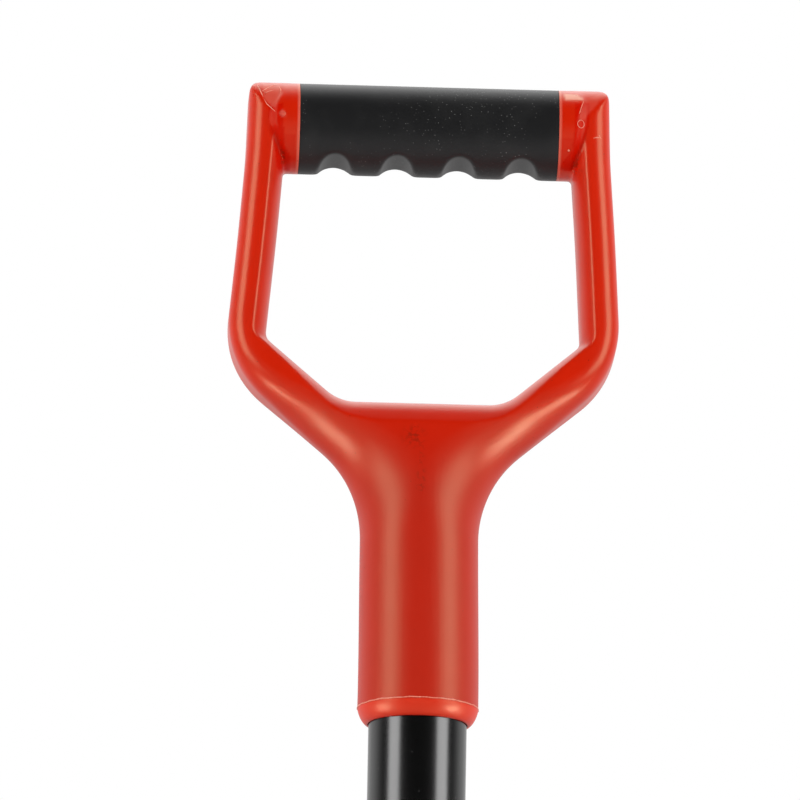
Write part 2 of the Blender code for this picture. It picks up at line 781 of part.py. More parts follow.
spade_blade = make_blade(black_paint)
tube = make_tube(black_paint)
for rivet_name, rivet_height in rivet_heights().items():
    hole = make_rivet_hole(rivet_name, rivet_height)
    cut(spade_blade, hole)
    cut(tube, hole)
    make_rivet(rivet_name, rivet_height, zinc_steel)
make_tread("tread_left", -1, black_paint)
make_tread("tread_right", 1, black_paint)
grip = make_grip_frame(orange_plastic)
make_sleeve(black_rubber)
hole = make_screw_hole()
cut(grip, hole)
cut(tube, hole)
cut(grip, make_screw_recess())
make_screw(zinc_steel)
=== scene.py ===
# %% [markdown]
# # Dressing a digging spade
#
# The measured model of the spade is already built: a pressed blade, a tube
# shaft and a moulded D grip. This lesson loads it as a fixed frame and gives
# each piece the shape, the small marks and the finish of the real one. We
# read sizes from the frame wherever it can tell them, so that a new piece
# always lands on the measured one.

# %% Load the measured frame
import random
from math import acos, asin, atan2, ceil, cos, degrees, hypot, pi, radians, sin, sqrt, tan

import bmesh
import bpy
import numpy as np
from mathutils import Matrix, Vector
from mathutils.bvhtree import BVHTree


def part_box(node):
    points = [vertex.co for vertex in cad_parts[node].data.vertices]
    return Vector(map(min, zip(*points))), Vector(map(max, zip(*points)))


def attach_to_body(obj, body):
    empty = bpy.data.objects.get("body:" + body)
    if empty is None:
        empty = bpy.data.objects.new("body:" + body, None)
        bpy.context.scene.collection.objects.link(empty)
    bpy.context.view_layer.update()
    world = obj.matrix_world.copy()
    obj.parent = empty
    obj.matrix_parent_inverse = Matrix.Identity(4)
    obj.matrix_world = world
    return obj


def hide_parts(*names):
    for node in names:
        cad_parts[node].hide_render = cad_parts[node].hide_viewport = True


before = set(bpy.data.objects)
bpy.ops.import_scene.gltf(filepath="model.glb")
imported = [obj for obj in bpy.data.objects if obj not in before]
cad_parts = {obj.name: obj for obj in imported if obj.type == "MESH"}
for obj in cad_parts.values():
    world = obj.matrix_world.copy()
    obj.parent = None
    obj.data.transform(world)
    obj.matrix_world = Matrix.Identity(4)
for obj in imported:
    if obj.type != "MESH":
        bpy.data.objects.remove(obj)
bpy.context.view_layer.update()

print("Frame pieces:", sorted(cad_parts))

# %% [markdown]
# The tube and the sleeve tell us where the two axes of the handle are: the
# upright axis of the shaft, and the level axis of the crossbar.

# %% Find the shaft's and the crossbar's axes
tube_low, tube_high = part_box("shaft_tube")
sleeve_low, sleeve_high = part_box("grip_sleeve")
shaft_y = (tube_low.y + tube_high.y) / 2
tube_radius = (tube_high.x - tube_low.x) / 2
crossbar_z = (sleeve_low.z + sleeve_high.z) / 2
crossbar_radius = (sleeve_high.z - sleeve_low.z) / 2
sleeve_half = (sleeve_high.x - sleeve_low.x) / 2
crossbar_centre = Vector((0, shaft_y, crossbar_z))
print("Crossbar axis at", [round(v, 4) for v in crossbar_centre])
print("Tube radius", round(tube_radius, 4), "crossbar radius", round(crossbar_radius, 4))

# %% [markdown]
# A few helpers keep the rest short. One puts data into the scene as an object.
# The others build shader nodes: they add a node, give it plain values or link
# other nodes to it, and hand on its output. So a finish reads like a recipe.

# %% Helpers for objects and nodes
def place_object(name, data):
    item = bpy.data.objects.new(name, data)
    bpy.context.scene.collection.objects.link(item)
    return item


def feed(node, *by_place, **by_name):
    """Give a node's inputs plain values, or link other nodes' outputs to them."""
    named = [(value, node.inputs[key.replace("_", " ")]) for key, value in by_name.items()]
    for value, socket in [*zip(by_place, node.inputs), *named]:
        if isinstance(value, bpy.types.NodeSocket):
            node.id_data.links.new(value, socket)
        else:
            socket.default_value = value
    return node


def add(tree, kind, *by_place, output=0, **by_name):
    """Add a node to a tree, feed it, and hand on one of its outputs."""
    return feed(tree.nodes.new(kind), *by_place, **by_name).outputs[output]


def compute(operation, first, *others, kind="ShaderNodeMath"):
    """The number that a node for sums makes of another node's output and other terms."""
    node = first.id_data.nodes.new(kind)
    node.operation = operation
    return feed(node, first, *others).outputs["Value"]


def mapped(value, start, end, low=0.0, high=1.0, ease="LINEAR"):
    """Map an output's range from start to end onto the range from low to high."""
    node = value.id_data.nodes.new("ShaderNodeMapRange")
    node.interpolation_type = ease
    return feed(node, value, start, end, low, high).outputs["Result"]


def blend(share, first, second):
    """Mix two colours, each a plain colour or another node's output."""
    return add(share.id_data, "ShaderNodeMixRGB", share, first, second)


def grey(value):
    return (value, value, value, 1)


def recipe(name):
    """A new material, its main shader, and the piece's own coordinates."""
    material = bpy.data.materials.new(name)
    material.use_nodes = True
    tree = material.node_tree
    place = add(tree, "ShaderNodeTexCoord", output="Object")
    return material, tree.nodes["Principled BSDF"], place


print("White is", grey(1.0))

# %% [markdown]
# The photograph was taken from five metres away with a long lens, a little
# from the left and from below the grip. A camera that far away keeps upright
# lines upright, and its picture is only 262 mm wide at the grip. We turn the
# view angles into three directions and place the camera from them, so that
# the middle of the crossbar lands on its own pixel.

# %% Set the camera at the photograph's angle
CAMERA_AZIMUTH, CAMERA_PITCH, CAMERA_ROLL = map(radians, (-2.15, -13.2, 1.03))
CAMERA_DISTANCE = 5.0
PICTURE_WIDTH, PIXELS = 0.2623, 800
PIXEL_SIZE = PICTURE_WIDTH / PIXELS
CROSSBAR_RIGHT, CROSSBAR_UP = 27.95, 267.5


def aim_camera():
    """The camera's place and turn. The crossbar's pixels count from the middle."""
    level = Vector((cos(CAMERA_AZIMUTH), sin(CAMERA_AZIMUTH), 0))
    forward = Vector((-level.y, level.x, 0))
    ahead = forward * cos(CAMERA_PITCH) - Vector((0, 0, sin(CAMERA_PITCH)))
    upward = level.cross(ahead)
    right = level * cos(CAMERA_ROLL) + upward * sin(CAMERA_ROLL)
    up = upward * cos(CAMERA_ROLL) - level * sin(CAMERA_ROLL)
    place = crossbar_centre - ahead * CAMERA_DISTANCE
    place -= (right * CROSSBAR_RIGHT + up * CROSSBAR_UP) * PIXEL_SIZE
    return Matrix.Translation(place) @ Matrix((right, up, -ahead)).transposed().to_4x4()


camera_data = bpy.data.cameras.new("spade_camera")
camera_data.sensor_width = 36
camera_data.lens = camera_data.sensor_width * CAMERA_DISTANCE / PICTURE_WIDTH
camera_data.clip_end = 50
camera = place_object("spade_camera", camera_data)
camera.matrix_world = aim_camera()
bpy.context.scene.camera = camera
print("Camera at", [round(v, 3) for v in camera.matrix_world.translation])

# %% [markdown]
# A product studio lights a glossy handle with two tall softboxes, one on each
# side, and keeps the middle dark. Each box then shows as one soft stripe on a
# round tube. An area light is the right lamp for that, because its size is
# what makes the stripe wide and soft. Two narrow weaker lights stand square to
# the sides and one broad light in front. They lift the colour without a
# stripe, so their glossy light is switched off. Two small low ones only add
# the soft highlights on the yoke's underside, so for them it is the diffuse
# light that is switched off, and a narrow spread keeps them off the crossbar.

# %% Light it with tall softboxes
LIGHT_TARGET = Vector((0, shaft_y, 1.50))
LOW_TARGET = crossbar_centre - Vector((0, 0, 0.145))
LOW_SPREAD = radians(36)


def softbox(name, azimuth, distance, width, height, radiance, target=LIGHT_TARGET, elevation=0):
    """An area light at an angle from the front. The camera doesn't see it."""
    data = bpy.data.lights.new(name, "AREA")
    data.shape = "RECTANGLE"
    data.size = width
    data.size_y = height
    data.energy = radiance * pi * width * height
    lamp = place_object(name, data)
    turn, rise = radians(azimuth), radians(elevation)
    level = Vector((sin(turn), -cos(turn), 0))
    lamp.location = target + distance * (level * cos(rise) + Vector((0, 0, sin(rise))))
    lamp.rotation_euler = (target - lamp.location).to_track_quat("-Z", "Y").to_euler()
    lamp.visible_camera = False
    return lamp


softboxes = [
    softbox("softbox_left", -58, 1.5, 0.74, 1.9, 4.8),
    softbox("softbox_right", 59, 1.5, 0.77, 1.9, 4.9),
]
colour_lights = [
    softbox("edge_light_left", -92, 1.5, 0.32, 2.4, 2.4),
    softbox("edge_light_right", 92, 1.5, 0.32, 2.4, 2.7),
    softbox("front_light", 0, 2.0, 1.2, 1.2, 1.5, crossbar_centre, -12),
]
low_lights = [
    softbox("low_light_left", -76, 0.35, 0.07, 0.07, 1.80, LOW_TARGET, -34),
    softbox("low_light_right", 75, 0.35, 0.07, 0.07, 2.40, LOW_TARGET, -34),
]
for lamp in colour_lights:
    lamp.visible_glossy = False
for lamp in low_lights:
    lamp.visible_diffuse = False
    lamp.data.spread = LOW_SPREAD
print("Softboxes:", [round(lamp.data.energy, 1) for lamp in softboxes], "watts")

# %% [markdown]
# The background is white paper. The camera sees the world as white, while the
# spade itself gets two soft patches of light from it: from behind, and from
# high behind. The front stays dark, since the camera stands there. Each patch
# is brightest along its own direction and fades with the angle from it.

# %% Make the white background and the soft fill
FILL_FRONT = 0.015
FILL_PATCHES = (
    ((0.0, 1.0, 0.0), -0.12, 0.55, 0.81),
    ((0.0, 0.5, 0.866), 0.74, 1.0, 1.50),
)


def studio_world():
    """A world of soft patches (direction, start and end of the rise, strength)."""
    world = bpy.data.worlds.new("studio")
    world.use_nodes = True
    tree = world.node_tree
    tree.nodes.clear()
    direction = add(tree, "ShaderNodeTexCoord", output="Generated")
    total = FILL_FRONT
    for centre, start, end, strength in FILL_PATCHES:
        facing = compute("DOT_PRODUCT", direction, centre, kind="ShaderNodeVectorMath")
        patch = mapped(facing, start, end, 0.0, strength, "SMOOTHSTEP")
        total = compute("ADD", patch, total)
    fill = add(tree, "ShaderNodeBackground", grey(1.0), total)
    paper = add(tree, "ShaderNodeBackground", grey(1.0))
    seen = add(tree, "ShaderNodeLightPath", output="Is Camera Ray")
    output = tree.nodes.new("ShaderNodeOutputWorld")
    feed(output, add(tree, "ShaderNodeMixShader", seen, fill, paper))
    return world


bpy.context.scene.world = studio_world()
bpy.context.scene.view_settings.view_transform = "Standard"
print("World nodes:", len(bpy.context.scene.world.node_tree.nodes))

# %% [markdown]
# The spade stands on a round pale floor. It is small enough to stay out of
# the way of the camera, which looks up from below the grip. The camera sees it
# nearly white, and the spade gets a little less light from it than that. Away
# from the spade it fades into the white paper, so no edge of it shows.

# %% Lay the floor
FLOOR_RADIUS, FLOOR_FADE = 2.4, (0.6, 1.9)
FLOOR_LIT, FLOOR_SEEN = grey(0.55), grey(0.92)


def floor_paint():
    material, shader, place = recipe("pale_floor")
    tree = material.node_tree
    seen = add(tree, "ShaderNodeLightPath", output="Is Camera Ray")
    feed(shader, Base_Color=blend(seen, FLOOR_LIT, FLOOR_SEEN), Roughness=0.7)
    away = compute("LENGTH", place, kind="ShaderNodeVectorMath")
    fade = mapped(away, *FLOOR_FADE, 0.0, seen, "SMOOTHSTEP")
    paper = add(tree, "ShaderNodeEmission")
    mixed = add(tree, "ShaderNodeMixShader", fade, shader.outputs["BSDF"], paper)
    feed(tree.nodes["Material Output"], mixed)
    return material


shape = bmesh.new()
bmesh.ops.create_circle(shape, cap_ends=True, segments=96, radius=FLOOR_RADIUS)
floor = place_object("floor", bpy.data.meshes.new("floor"))
shape.to_mesh(floor.data)
shape.free()
floor.data.materials.append(floor_paint())
print("Floor radius in metres:", FLOOR_RADIUS)

# %% [markdown]
# ## Tools for shapes
#
# Most pieces are lofts: a row of closed rings with a skin over them. One
# helper makes the skin and closes both ends, so that every piece is solid.

# %% A skin over rings
def skin(name, rings):
    """A closed solid over rings that all have equally many points."""
    count = len(rings[0])
    points = [tuple(point) for ring in rings for point in ring]
    last = len(points) - count
    faces = []
    for row in range(0, last, count):
        for i in range(count):
            j = (i + 1) % count
            faces.append((row + i, row + j, row + count + j, row + count + i))
    faces.append(tuple(reversed(range(count))))
    faces.append(tuple(range(last, last + count)))
    mesh = bpy.data.meshes.new(name)
    mesh.from_pydata(points, [], faces)
    shape = bmesh.new()
    shape.from_mesh(mesh)
    bmesh.ops.remove_doubles(shape, verts=shape.verts, dist=0.000002)
    bmesh.ops.recalc_face_normals(shape, faces=shape.faces)
    shape.to_mesh(mesh)
    shape.free()
    return place_object(name, mesh)


def turned(name, profile, axis, steps=96):
    """A solid of revolution. The profile lists (radius, distance along the axis)."""
    first = 3 - "ZXY".index(axis)
    rings = []
    for radius, along in profile:
        ring = []
        for i in range(steps):
            angle = 2 * pi * i / steps
            point = (radius * cos(angle), radius * sin(angle), along)
            ring.append(point[first:] + point[:first])
        rings.append(ring)
    return skin(name, rings)


def rod(radius, low, high):
    """The profile of a plain rod from low to high along its axis."""
    return [(0, low), (radius, low), (radius, high), (0, high)]


def loop(centre, first, second, radius, count):
    """Points of a circle round a centre, in the plane of two directions."""
    angles = [2 * pi * i / count for i in range(count)]
    return [centre + (first * cos(a) + second * sin(a)) * radius for a in angles]


print("Corners of a rod's profile:", rod(1, 0, 2))

# %% [markdown]
# Modifiers do the heavy work, and a finished piece should be plain geometry.
# This helper turns what the modifiers make into the piece's own mesh.

# %% Boolean, bake and tidy helpers
def bake(item):
    """Replace the item's mesh by what its modifiers make of it."""
    bpy.context.view_layer.update()
    graph = bpy.context.evaluated_depsgraph_get()
    mesh = bpy.data.meshes.new_from_object(item.evaluated_get(graph))
    mesh.name = item.name
    item.modifiers.clear()
    item.data = mesh


def combine(item, tool, operation):
    """Cut the tool out of the item, or join it on, and remove the tool."""
    step = item.modifiers.new(operation.title(), "BOOLEAN")
    step.operation = operation
    step.solver = "EXACT"
    step.object = tool
    bake(item)
    bpy.data.objects.remove(tool, do_unlink=True)


def melt(item, voxel, passes):
    """Rebuild the item as one even skin and ease its edges, as a mould does."""
    remesh = item.modifiers.new("Even skin", "REMESH")
    remesh.mode = "VOXEL"
    remesh.voxel_size = voxel
    ease = item.modifiers.new("Eased edges", "SMOOTH")
    ease.factor = 0.5
    ease.iterations = passes
    bake(item)


def smooth_shade(item, limit):
    """Shade the item softly, except over edges that turn by more degrees than the limit."""
    item.data.shade_smooth()
    item.data.set_sharp_from_angle(angle=radians(limit))


print("Boolean and remesh helpers ready")

# %% [markdown]
# ## The D grip
#
# The grip is one orange-red moulding. Its outside is a loft of level
# sections, from the square-cut top down to the round collar. A few small
# functions blend between the sections and round the corners.

# %% Blending helpers
def smooth_step(value):
    value = min(max(value, 0.0), 1.0)
    return value * value * (3 - 2 * value)


def hump(value, start, rise, end, fall):
    """0 up to start, then 1, and 0 again from end, with soft slopes."""
    return smooth_step((value - start) / rise) * smooth_step((end - value) / fall)


def mix(low, high, share):
    return low + (high - low) * share


def drawn_in(radius, reached):
    """How far a round corner has drawn in, at a distance along it from its start."""
    reached = min(max(reached, 0.0), radius)
    return radius - sqrt(radius**2 - reached**2)


def quarter(steps):
    """Angles of a quarter turn."""
    return [pi / 2 * i / steps for i in range(steps + 1)]


def filleted(corners, radii, steps):
    """A chain of 2D corners with an arc of the given radius at each inner corner."""
    corners = [Vector(corner) for corner in corners]
    points = [corners[0]]
    for before, corner, after, radius in zip(corners, corners[1:], corners[2:], radii):
        back = (before - corner).normalized()
        ahead = (after - corner).normalized()
        half_angle = back.angle(ahead) / 2
        centre = corner + (back + ahead).normalized() * radius / sin(half_angle)
        first = corner + back * radius / tan(half_angle) - centre
        last = corner + ahead * radius / tan(half_angle) - centre
        sweep = first.angle_signed(last)
        points += [centre + first @ Matrix.Rotation(sweep * i / steps, 2) for i in range(steps + 1)]
    return points + [corners[-1]]


print("Half way between 1 and 3:", mix(1, 3, smooth_step(0.5)))

# %% [markdown]
# These are the sizes of the grip, in metres, measured down from the axis of
# its crossbar. They are the same as in the measured model.

# %% Sizes of the grip
TOP_HALF_WIDTH, TOP_CORNER, TOP_ROUND_RADIUS = 0.0589, 0.0048, 0.0125
BEND_HALF_WIDTH, BEND_DROP, BEND_RADIUS = 0.0596, 0.0096, 0.200
SHOULDER_HALF_WIDTH, SHOULDER_DROP, SHOULDER_RADIUS = 0.0649, 0.0804, 0.033
THROAT_DROP, THROAT_RADIUS = 0.1199, 0.038
SOCKET_RADIUS, SOCKET_BORE = 0.0192, tube_radius + 0.0003
COLLAR_DROP, COLLAR_RADIUS = 0.1934, 0.0197
COLLAR_ROUND_HEIGHT, COLLAR_ROUND_DEPTH, COLLAR_ROUND_POWER = 0.0054, 0.0031, 1.5
ARM_HALF_DEPTH, ARM_EDGE_RADIUS = 0.0130, 0.0066
YOKE_START_DROP, YOKE_ROUNDING = 0.0718, 1.6
NOSE_RANGE, NOSE_POWER = (0.0900, 0.012, 0.1400, 0.018), 1.72
RIM_DROP = COLLAR_DROP + COLLAR_ROUND_HEIGHT

grip_outline = filleted(
    [
        (TOP_HALF_WIDTH, crossbar_radius),
        (BEND_HALF_WIDTH, -BEND_DROP),
        (SHOULDER_HALF_WIDTH, -SHOULDER_DROP),
        (SOCKET_RADIUS, -THROAT_DROP),
        (COLLAR_RADIUS, -COLLAR_DROP),
    ],
    [BEND_RADIUS, SHOULDER_RADIUS, THROAT_RADIUS],
    24,
)
outline_heights = [point.y for point in reversed(grip_outline)]
outline_widths = [point.x for point in reversed(grip_outline)]
print("Widest point of the grip:", round(2000 * max(outline_widths), 1), "mm")

# %% [markdown]
# A level section of the grip is a rectangle with rounded edges. The edges get
# rounder towards the yoke, until the section is the circle of the socket. At
# the top, the depth follows a second rounding that runs along the crossbar,
# and the two roundings meet in a mitre at each corner.

# %% Level sections of the grip's outside
SECTION_STEP, SLOPE_STEP = 0.0012, 0.0005


def outer_half_width(height):
    half = float(np.interp(height, outline_heights, outline_widths))
    return half - drawn_in(TOP_CORNER, height - crossbar_radius + TOP_CORNER)


def top_half_depth(height):
    return ARM_HALF_DEPTH - drawn_in(TOP_ROUND_RADIUS, height - crossbar_radius + TOP_ROUND_RADIUS)


def yoke_share(height):
    """0 along the arms, 1 where the yoke has become the round socket."""
    return smooth_step((-height - YOKE_START_DROP) / (THROAT_DROP - YOKE_START_DROP))


def socket_radius(height):
    share = smooth_step((-height - THROAT_DROP) / (COLLAR_DROP - THROAT_DROP))
    return mix(SOCKET_RADIUS, COLLAR_RADIUS, share)


def outer_half_depth(height):
    return mix(ARM_HALF_DEPTH, socket_radius(height), yoke_share(height))


def rounded_ring(half_width, half_depth, edge_x, edge_y, power=2.0, arc=20, flat=12):
    """A rounded rectangle. A power below 2 makes its roundings a little pointed."""
    corner = []
    for angle in quarter(arc):
        x = half_width - edge_x * (1 - max(cos(angle), 0.0) ** (2 / power))
        y = half_depth - edge_y * (1 - sin(angle) ** (2 / power))
        corner.append((x, y))
    flat_end = half_width - edge_x
    across = [(flat_end * (1 - 2 * i / flat), half_depth) for i in range(1, flat)]
    back = corner + across + [(-x, y) for x, y in reversed(corner)]
    return back + [(-x, -y) for x, y in back]


def outer_section(height):
    """A level section. The socket's round front runs up into the yoke as a soft ridge."""
    half_width, half_depth = outer_half_width(height), outer_half_depth(height)
    above, below = outer_half_width(height + SLOPE_STEP), outer_half_width(height - SLOPE_STEP)
    stretch = hypot(1, (above - below) / (2 * SLOPE_STEP)) if height < 0 else 1.0
    share = yoke_share(height)
    edge_x = min(mix(ARM_EDGE_RADIUS * stretch, half_width, share**YOKE_ROUNDING), half_width)
    edge_y = min(mix(ARM_EDGE_RADIUS, socket_radius(height), share), half_depth)
    power = mix(2.0, NOSE_POWER, hump(-height, *NOSE_RANGE))
    limit = top_half_depth(height) if height > 0 else half_depth
    ring = rounded_ring(half_width, half_depth, edge_x, edge_y, power)
    return [(x, max(min(y, limit), -limit), height) for x, y in ring]


def collar_sections(steps=10):
    """Round sections of the collar's end, which draws in at once below its crease."""
    power = 2 / COLLAR_ROUND_POWER
    rings = []
    for angle in quarter(steps)[1:]:
        radius = COLLAR_RADIUS - COLLAR_ROUND_DEPTH * (1 - max(cos(angle), 0.0) ** power)
        height = -COLLAR_DROP - COLLAR_ROUND_HEIGHT * sin(angle) ** power
        rings.append([(x, y, height) for x, y in rounded_ring(radius, radius, radius, radius)])
    return rings


heights = [crossbar_radius - TOP_ROUND_RADIUS * (1 - cos(angle)) for angle in quarter(20)]
lower_count = ceil((heights[-1] + COLLAR_DROP) / SECTION_STEP)
heights += list(np.linspace(heights[-1], -COLLAR_DROP, lower_count + 1))[1:]
sections = [outer_section(height) for height in heights]
grip = skin("grip_moulding", sections + collar_sections())
print("Grip sections:", len(sections), "points a section:", len(sections[0]))

# %% [markdown]
# The hand opening is cut through from front to back. It is narrowest in the
# middle of the depth and flares towards both faces, which leaves the sharp
# ridge line that runs round the inside of the frame. The cutter is a loft
# too: the same outline, moved outwards a little more in each section.

# %% Cut the flared hand opening
OPENING_TOP_HALF_WIDTH, OPENING_TOP_TAPER, OPENING_TOP_RADIUS = 0.0462, 0.0004, 0.02
OPENING_CORNER_HALF_WIDTH, OPENING_CORNER_DROP, OPENING_CORNER_RADIUS = 0.0515, 0.0718, 0.005
OPENING_FLOOR_HALF_WIDTH, OPENING_FLOOR_DROP, OPENING_FLOOR_RADIUS = 0.0271, 0.0924, 0.015
ARM_FLARE, DIAGONAL_FLARE, YOKE_FLARE, FLARE_POWER = 0.0047, 0.0034, 0.0063, 3.2
PAST = 0.004


def offset_chain(corners, offsets):
    """The chain with each of its segments moved to its right by its own offset."""
    lines = []
    for start, end, offset in zip(corners, corners[1:], offsets):
        start, end = Vector(start), Vector(end)
        along = (end - start).normalized()
        aside = Vector((along.y, -along.x)) * offset
        lines.append((start + aside, end + aside, along))
    moved = [lines[0][0]]
    for (start, _, along), (other, _, across) in zip(lines, lines[1:]):
        moved.append(start + along * ((other - start).cross(across) / along.cross(across)))
    return moved + [lines[-1][1]]


def opening_section(depth):
    """The opening's outline at a distance from the middle of the grip's depth."""
    corners = [
        (0.0, -OPENING_FLOOR_DROP),
        (OPENING_FLOOR_HALF_WIDTH, -OPENING_FLOOR_DROP),
        (OPENING_CORNER_HALF_WIDTH, -OPENING_CORNER_DROP),
        (OPENING_TOP_HALF_WIDTH, 0.0),
        (OPENING_TOP_HALF_WIDTH - OPENING_TOP_TAPER, crossbar_radius + PAST),
    ]
    sides = [
        (YOKE_FLARE, outer_half_depth(-OPENING_FLOOR_DROP)),
        (DIAGONAL_FLARE, outer_half_depth(-(OPENING_CORNER_DROP + OPENING_FLOOR_DROP) / 2)),
        (ARM_FLARE, ARM_HALF_DEPTH),
        (ARM_FLARE, ARM_HALF_DEPTH),
    ]
    flares = [flare * (abs(depth) / face) ** FLARE_POWER for flare, face in sides]
    radii = [OPENING_FLOOR_RADIUS, OPENING_CORNER_RADIUS, OPENING_TOP_RADIUS]
    half = filleted(offset_chain(corners, flares), radii, 16)
    left = [Vector((-point.x, point.y)) for point in reversed(half[1:])]
    return [(point.x, depth, point.y) for point in half + left]


reach = SOCKET_RADIUS + PAST
opening = [opening_section(depth) for depth in np.linspace(-reach, reach, 49)]
combine(grip, skin("opening_cutter", opening), "DIFFERENCE")
print("Faces after the opening is cut:", len(grip.data.polygons))

# %% [markdown]
# The crossbar's two stubs come out of the arms as short cylinders. They stand
# 2 mm proud of the arms' flat front, so each ends in a short steep cone. The
# line where the cone starts isn't straight on the real moulding: it swings
# outwards in front and back inwards below. So each stub is a loft of rings
# whose last points follow that line, read from a short list of angles and of
# distances from the middle in millimetres.

# %% Add the crossbar's stubs and core
SLEEVE_SEAT = sleeve_half + 0.00012
CONE_LENGTH, CONE_RADIUS = 0.0034, 0.0124
STUB_STEPS, STUB_SPARE, STUB_END = 144, 0.0015, 0.0528
CORE_RADIUS, CORE_END = 0.0092, 0.0502
STUB_LINE = {
    -1: (
        (-90, -40, -24, -9, 15, 24, 38, 60, 90),
        (47.0, 46.9, 47.7, 49.7, 50.1, 49.5, 48.3, 48.5, 48.9),
    ),
    1: (
        (-90, -39, -31, -9, 3, 27, 39, 56, 90),
        (47.0, 46.8, 47.4, 48.2, 48.6, 49.9, 50.4, 49.5, 49.0),
    ),
}


def stub_ring(side, radius, along, past_line=None):
    """One ring of a stub. With past_line, it keeps that far beyond the cone's start."""
    ring = []
    for i in range(STUB_STEPS):
        angle = 2 * pi * i / STUB_STEPS
        above_front = degrees(asin(sin(angle)))
        line = float(np.interp(above_front, *STUB_LINE[side])) / 1000
        x = along if past_line is None else line + past_line
        ring.append((side * x, radius * cos(angle), radius * sin(angle)))
    return ring


for side, name in ((-1, "stub_left"), (1, "stub_right")):
    rings = [
        stub_ring(side, crossbar_radius, SLEEVE_SEAT - STUB_SPARE),
        stub_ring(side, crossbar_radius, 0, 0.0),
        stub_ring(side, CONE_RADIUS, 0, CONE_LENGTH),
        stub_ring(side, CONE_RADIUS - STUB_SPARE, STUB_END),
    ]
    combine(grip, skin(name, rings), "UNION")
combine(grip, turned("core", rod(CORE_RADIUS, -CORE_END, CORE_END), "X", 64), "UNION")
print("Faces with both stubs and the core:", len(grip.data.polygons))

# %% [markdown]
# A moulding has no knife edges. We rebuild the grip as one even skin with
# the voxel remesher and smooth it a little, which eases each edge by about
# half a millimetre. This moulding also came out of its tool a little warped:
# the yoke sits half a millimetre off the middle. What is crisp on the real
# grip is cut afterwards: the sleeve's seat, the bore for the tube, and the
# screw's hole with its seat.

# %% Ease the edges, warp the yoke and cut the crisp seats
GRIP_VOXEL, GRIP_PASSES = 0.0006, 4
WARP, WARP_RANGE = 0.0006, (0.030, 0.050, 0.190, 0.060)
CORE_ROOM, HEAD_GAP = 0.06, 0.0006
SCREW_SEAT_Y, SCREW_HOLE_RADIUS, SCREW_HOLE_START = SOCKET_RADIUS - 0.0012, 0.0027, 0.010

melt(grip, GRIP_VOXEL, GRIP_PASSES)
for vertex in grip.data.vertices:
    vertex.co.x -= WARP * hump(-vertex.co.z, *WARP_RANGE)
seat_profile = [
    (CORE_RADIUS, -SLEEVE_SEAT),
    (crossbar_radius + PAST, -SLEEVE_SEAT),
    (crossbar_radius + PAST, SLEEVE_SEAT),
    (CORE_RADIUS, SLEEVE_SEAT),
]
seat = turned("sleeve_seat", seat_profile, "X", 192)
core_room = turned("core_room", rod(CORE_RADIUS, -CORE_ROOM, CORE_ROOM), "X", 64)
combine(seat, core_room, "DIFFERENCE")
combine(grip, seat, "DIFFERENCE")
tube_depth = tube_high.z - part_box("grip_frame")[0].z + 0.0003
bore = rod(SOCKET_BORE, -RIM_DROP - PAST, -RIM_DROP + tube_depth)
combine(grip, turned("bore", bore, "Z", 128), "DIFFERENCE")
screw_low, screw_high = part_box("grip_screw")
screw_z = (screw_low.z + screw_high.z) / 2
screw_head = (screw_high.x - screw_low.x) / 2
screw_steps = ((screw_head + HEAD_GAP, SCREW_SEAT_Y), (SCREW_HOLE_RADIUS, SCREW_HOLE_START))
for radius, start in screw_steps:
    hole = turned("screw_hole", rod(radius, start, 0.03), "Y", 48)
    hole.data.transform(Matrix.Translation((0, 0, screw_z - crossbar_z)))
    combine(grip, hole, "DIFFERENCE")
grip.location = crossbar_centre
print("Grip faces:", len(grip.data.polygons))

# %% [markdown]
# ## Marks of the mould
#
# The real moulding carries thin strips of flash, a round ejector mark on each
# side and a few specks. We give each mark by its place in the photograph, in
# pixels, and follow the camera's sight line from there to the skin of the
# grip. That is how a retoucher would point at them, and it needs no guesses
# about depth.

# %% Follow a sight line to the grip's skin
bpy.context.view_layer.update()
grip_tree = BVHTree.FromObject(grip, bpy.context.evaluated_depsgraph_get())


def sight(column, row):
    """The point of the grip seen at a place in the picture, and its normal."""
    right, up, back = (camera.matrix_world.col[i].xyz for i in range(3))
    sideways = right * (column - PIXELS / 2) + up * (PIXELS / 2 - row)
    ahead = sideways * (PIXEL_SIZE / CAMERA_DISTANCE) - back
    start = camera.matrix_world.translation - crossbar_centre
    return grip_tree.ray_cast(start, ahead)[:2]


print("Seen at the picture's corner of the grip:", [round(v, 4) for v in sight(262, 120)[0]])

# %% [markdown]
# Flash is a ragged strip, so each strand is a thin tube whose thickness wanders
# and runs out at both ends. It lies half sunk in the skin, as flash does.

# %% Strands of flash along the mould's joints
FLASH_LINES = (
    (0.00022, ((257, 85), (260, 90), (263.5, 97.5))),
    (0.00016, ((262, 91), (265, 89.5), (268, 87.5), (273, 85.5), (278, 84.5))),
    (0.00014, ((262, 91), (266, 92.5), (270, 91), (275, 90))),
    (0.00014, ((279, 86), (281, 90), (280, 94))),
    (0.00016, ((264, 99), (267, 104), (271, 107.5), (276, 112))),
    (0.00016, ((593, 138.2), (597, 137.5), (602, 137.8))),
    (0.00014, ((599, 135), (601.5, 140))),
    (0.00016, ((584, 100.6), (581.5, 107), (579, 115))),
)
COLLAR_FLASH = ((-100, 100, 0.00021), (80, 280, 0.00017))


def strand(name, path, radius, seed):
    """A thin ragged tube along (point, normal) pairs."""
    wander = random.Random(seed)
    rings = []
    last = len(path) - 1
    for i, (point, normal) in enumerate(path):
        along = (path[min(i + 1, last)][0] - path[max(i - 1, 0)][0]).normalized()
        across = normal.cross(along).normalized()
        taper = min(1.0, 0.25 + min(i, last - i) / 4)
        thickness = radius * taper * wander.uniform(0.55, 1.15)
        rings.append(loop(point, across, normal, thickness, 6))
    return skin(name, rings)


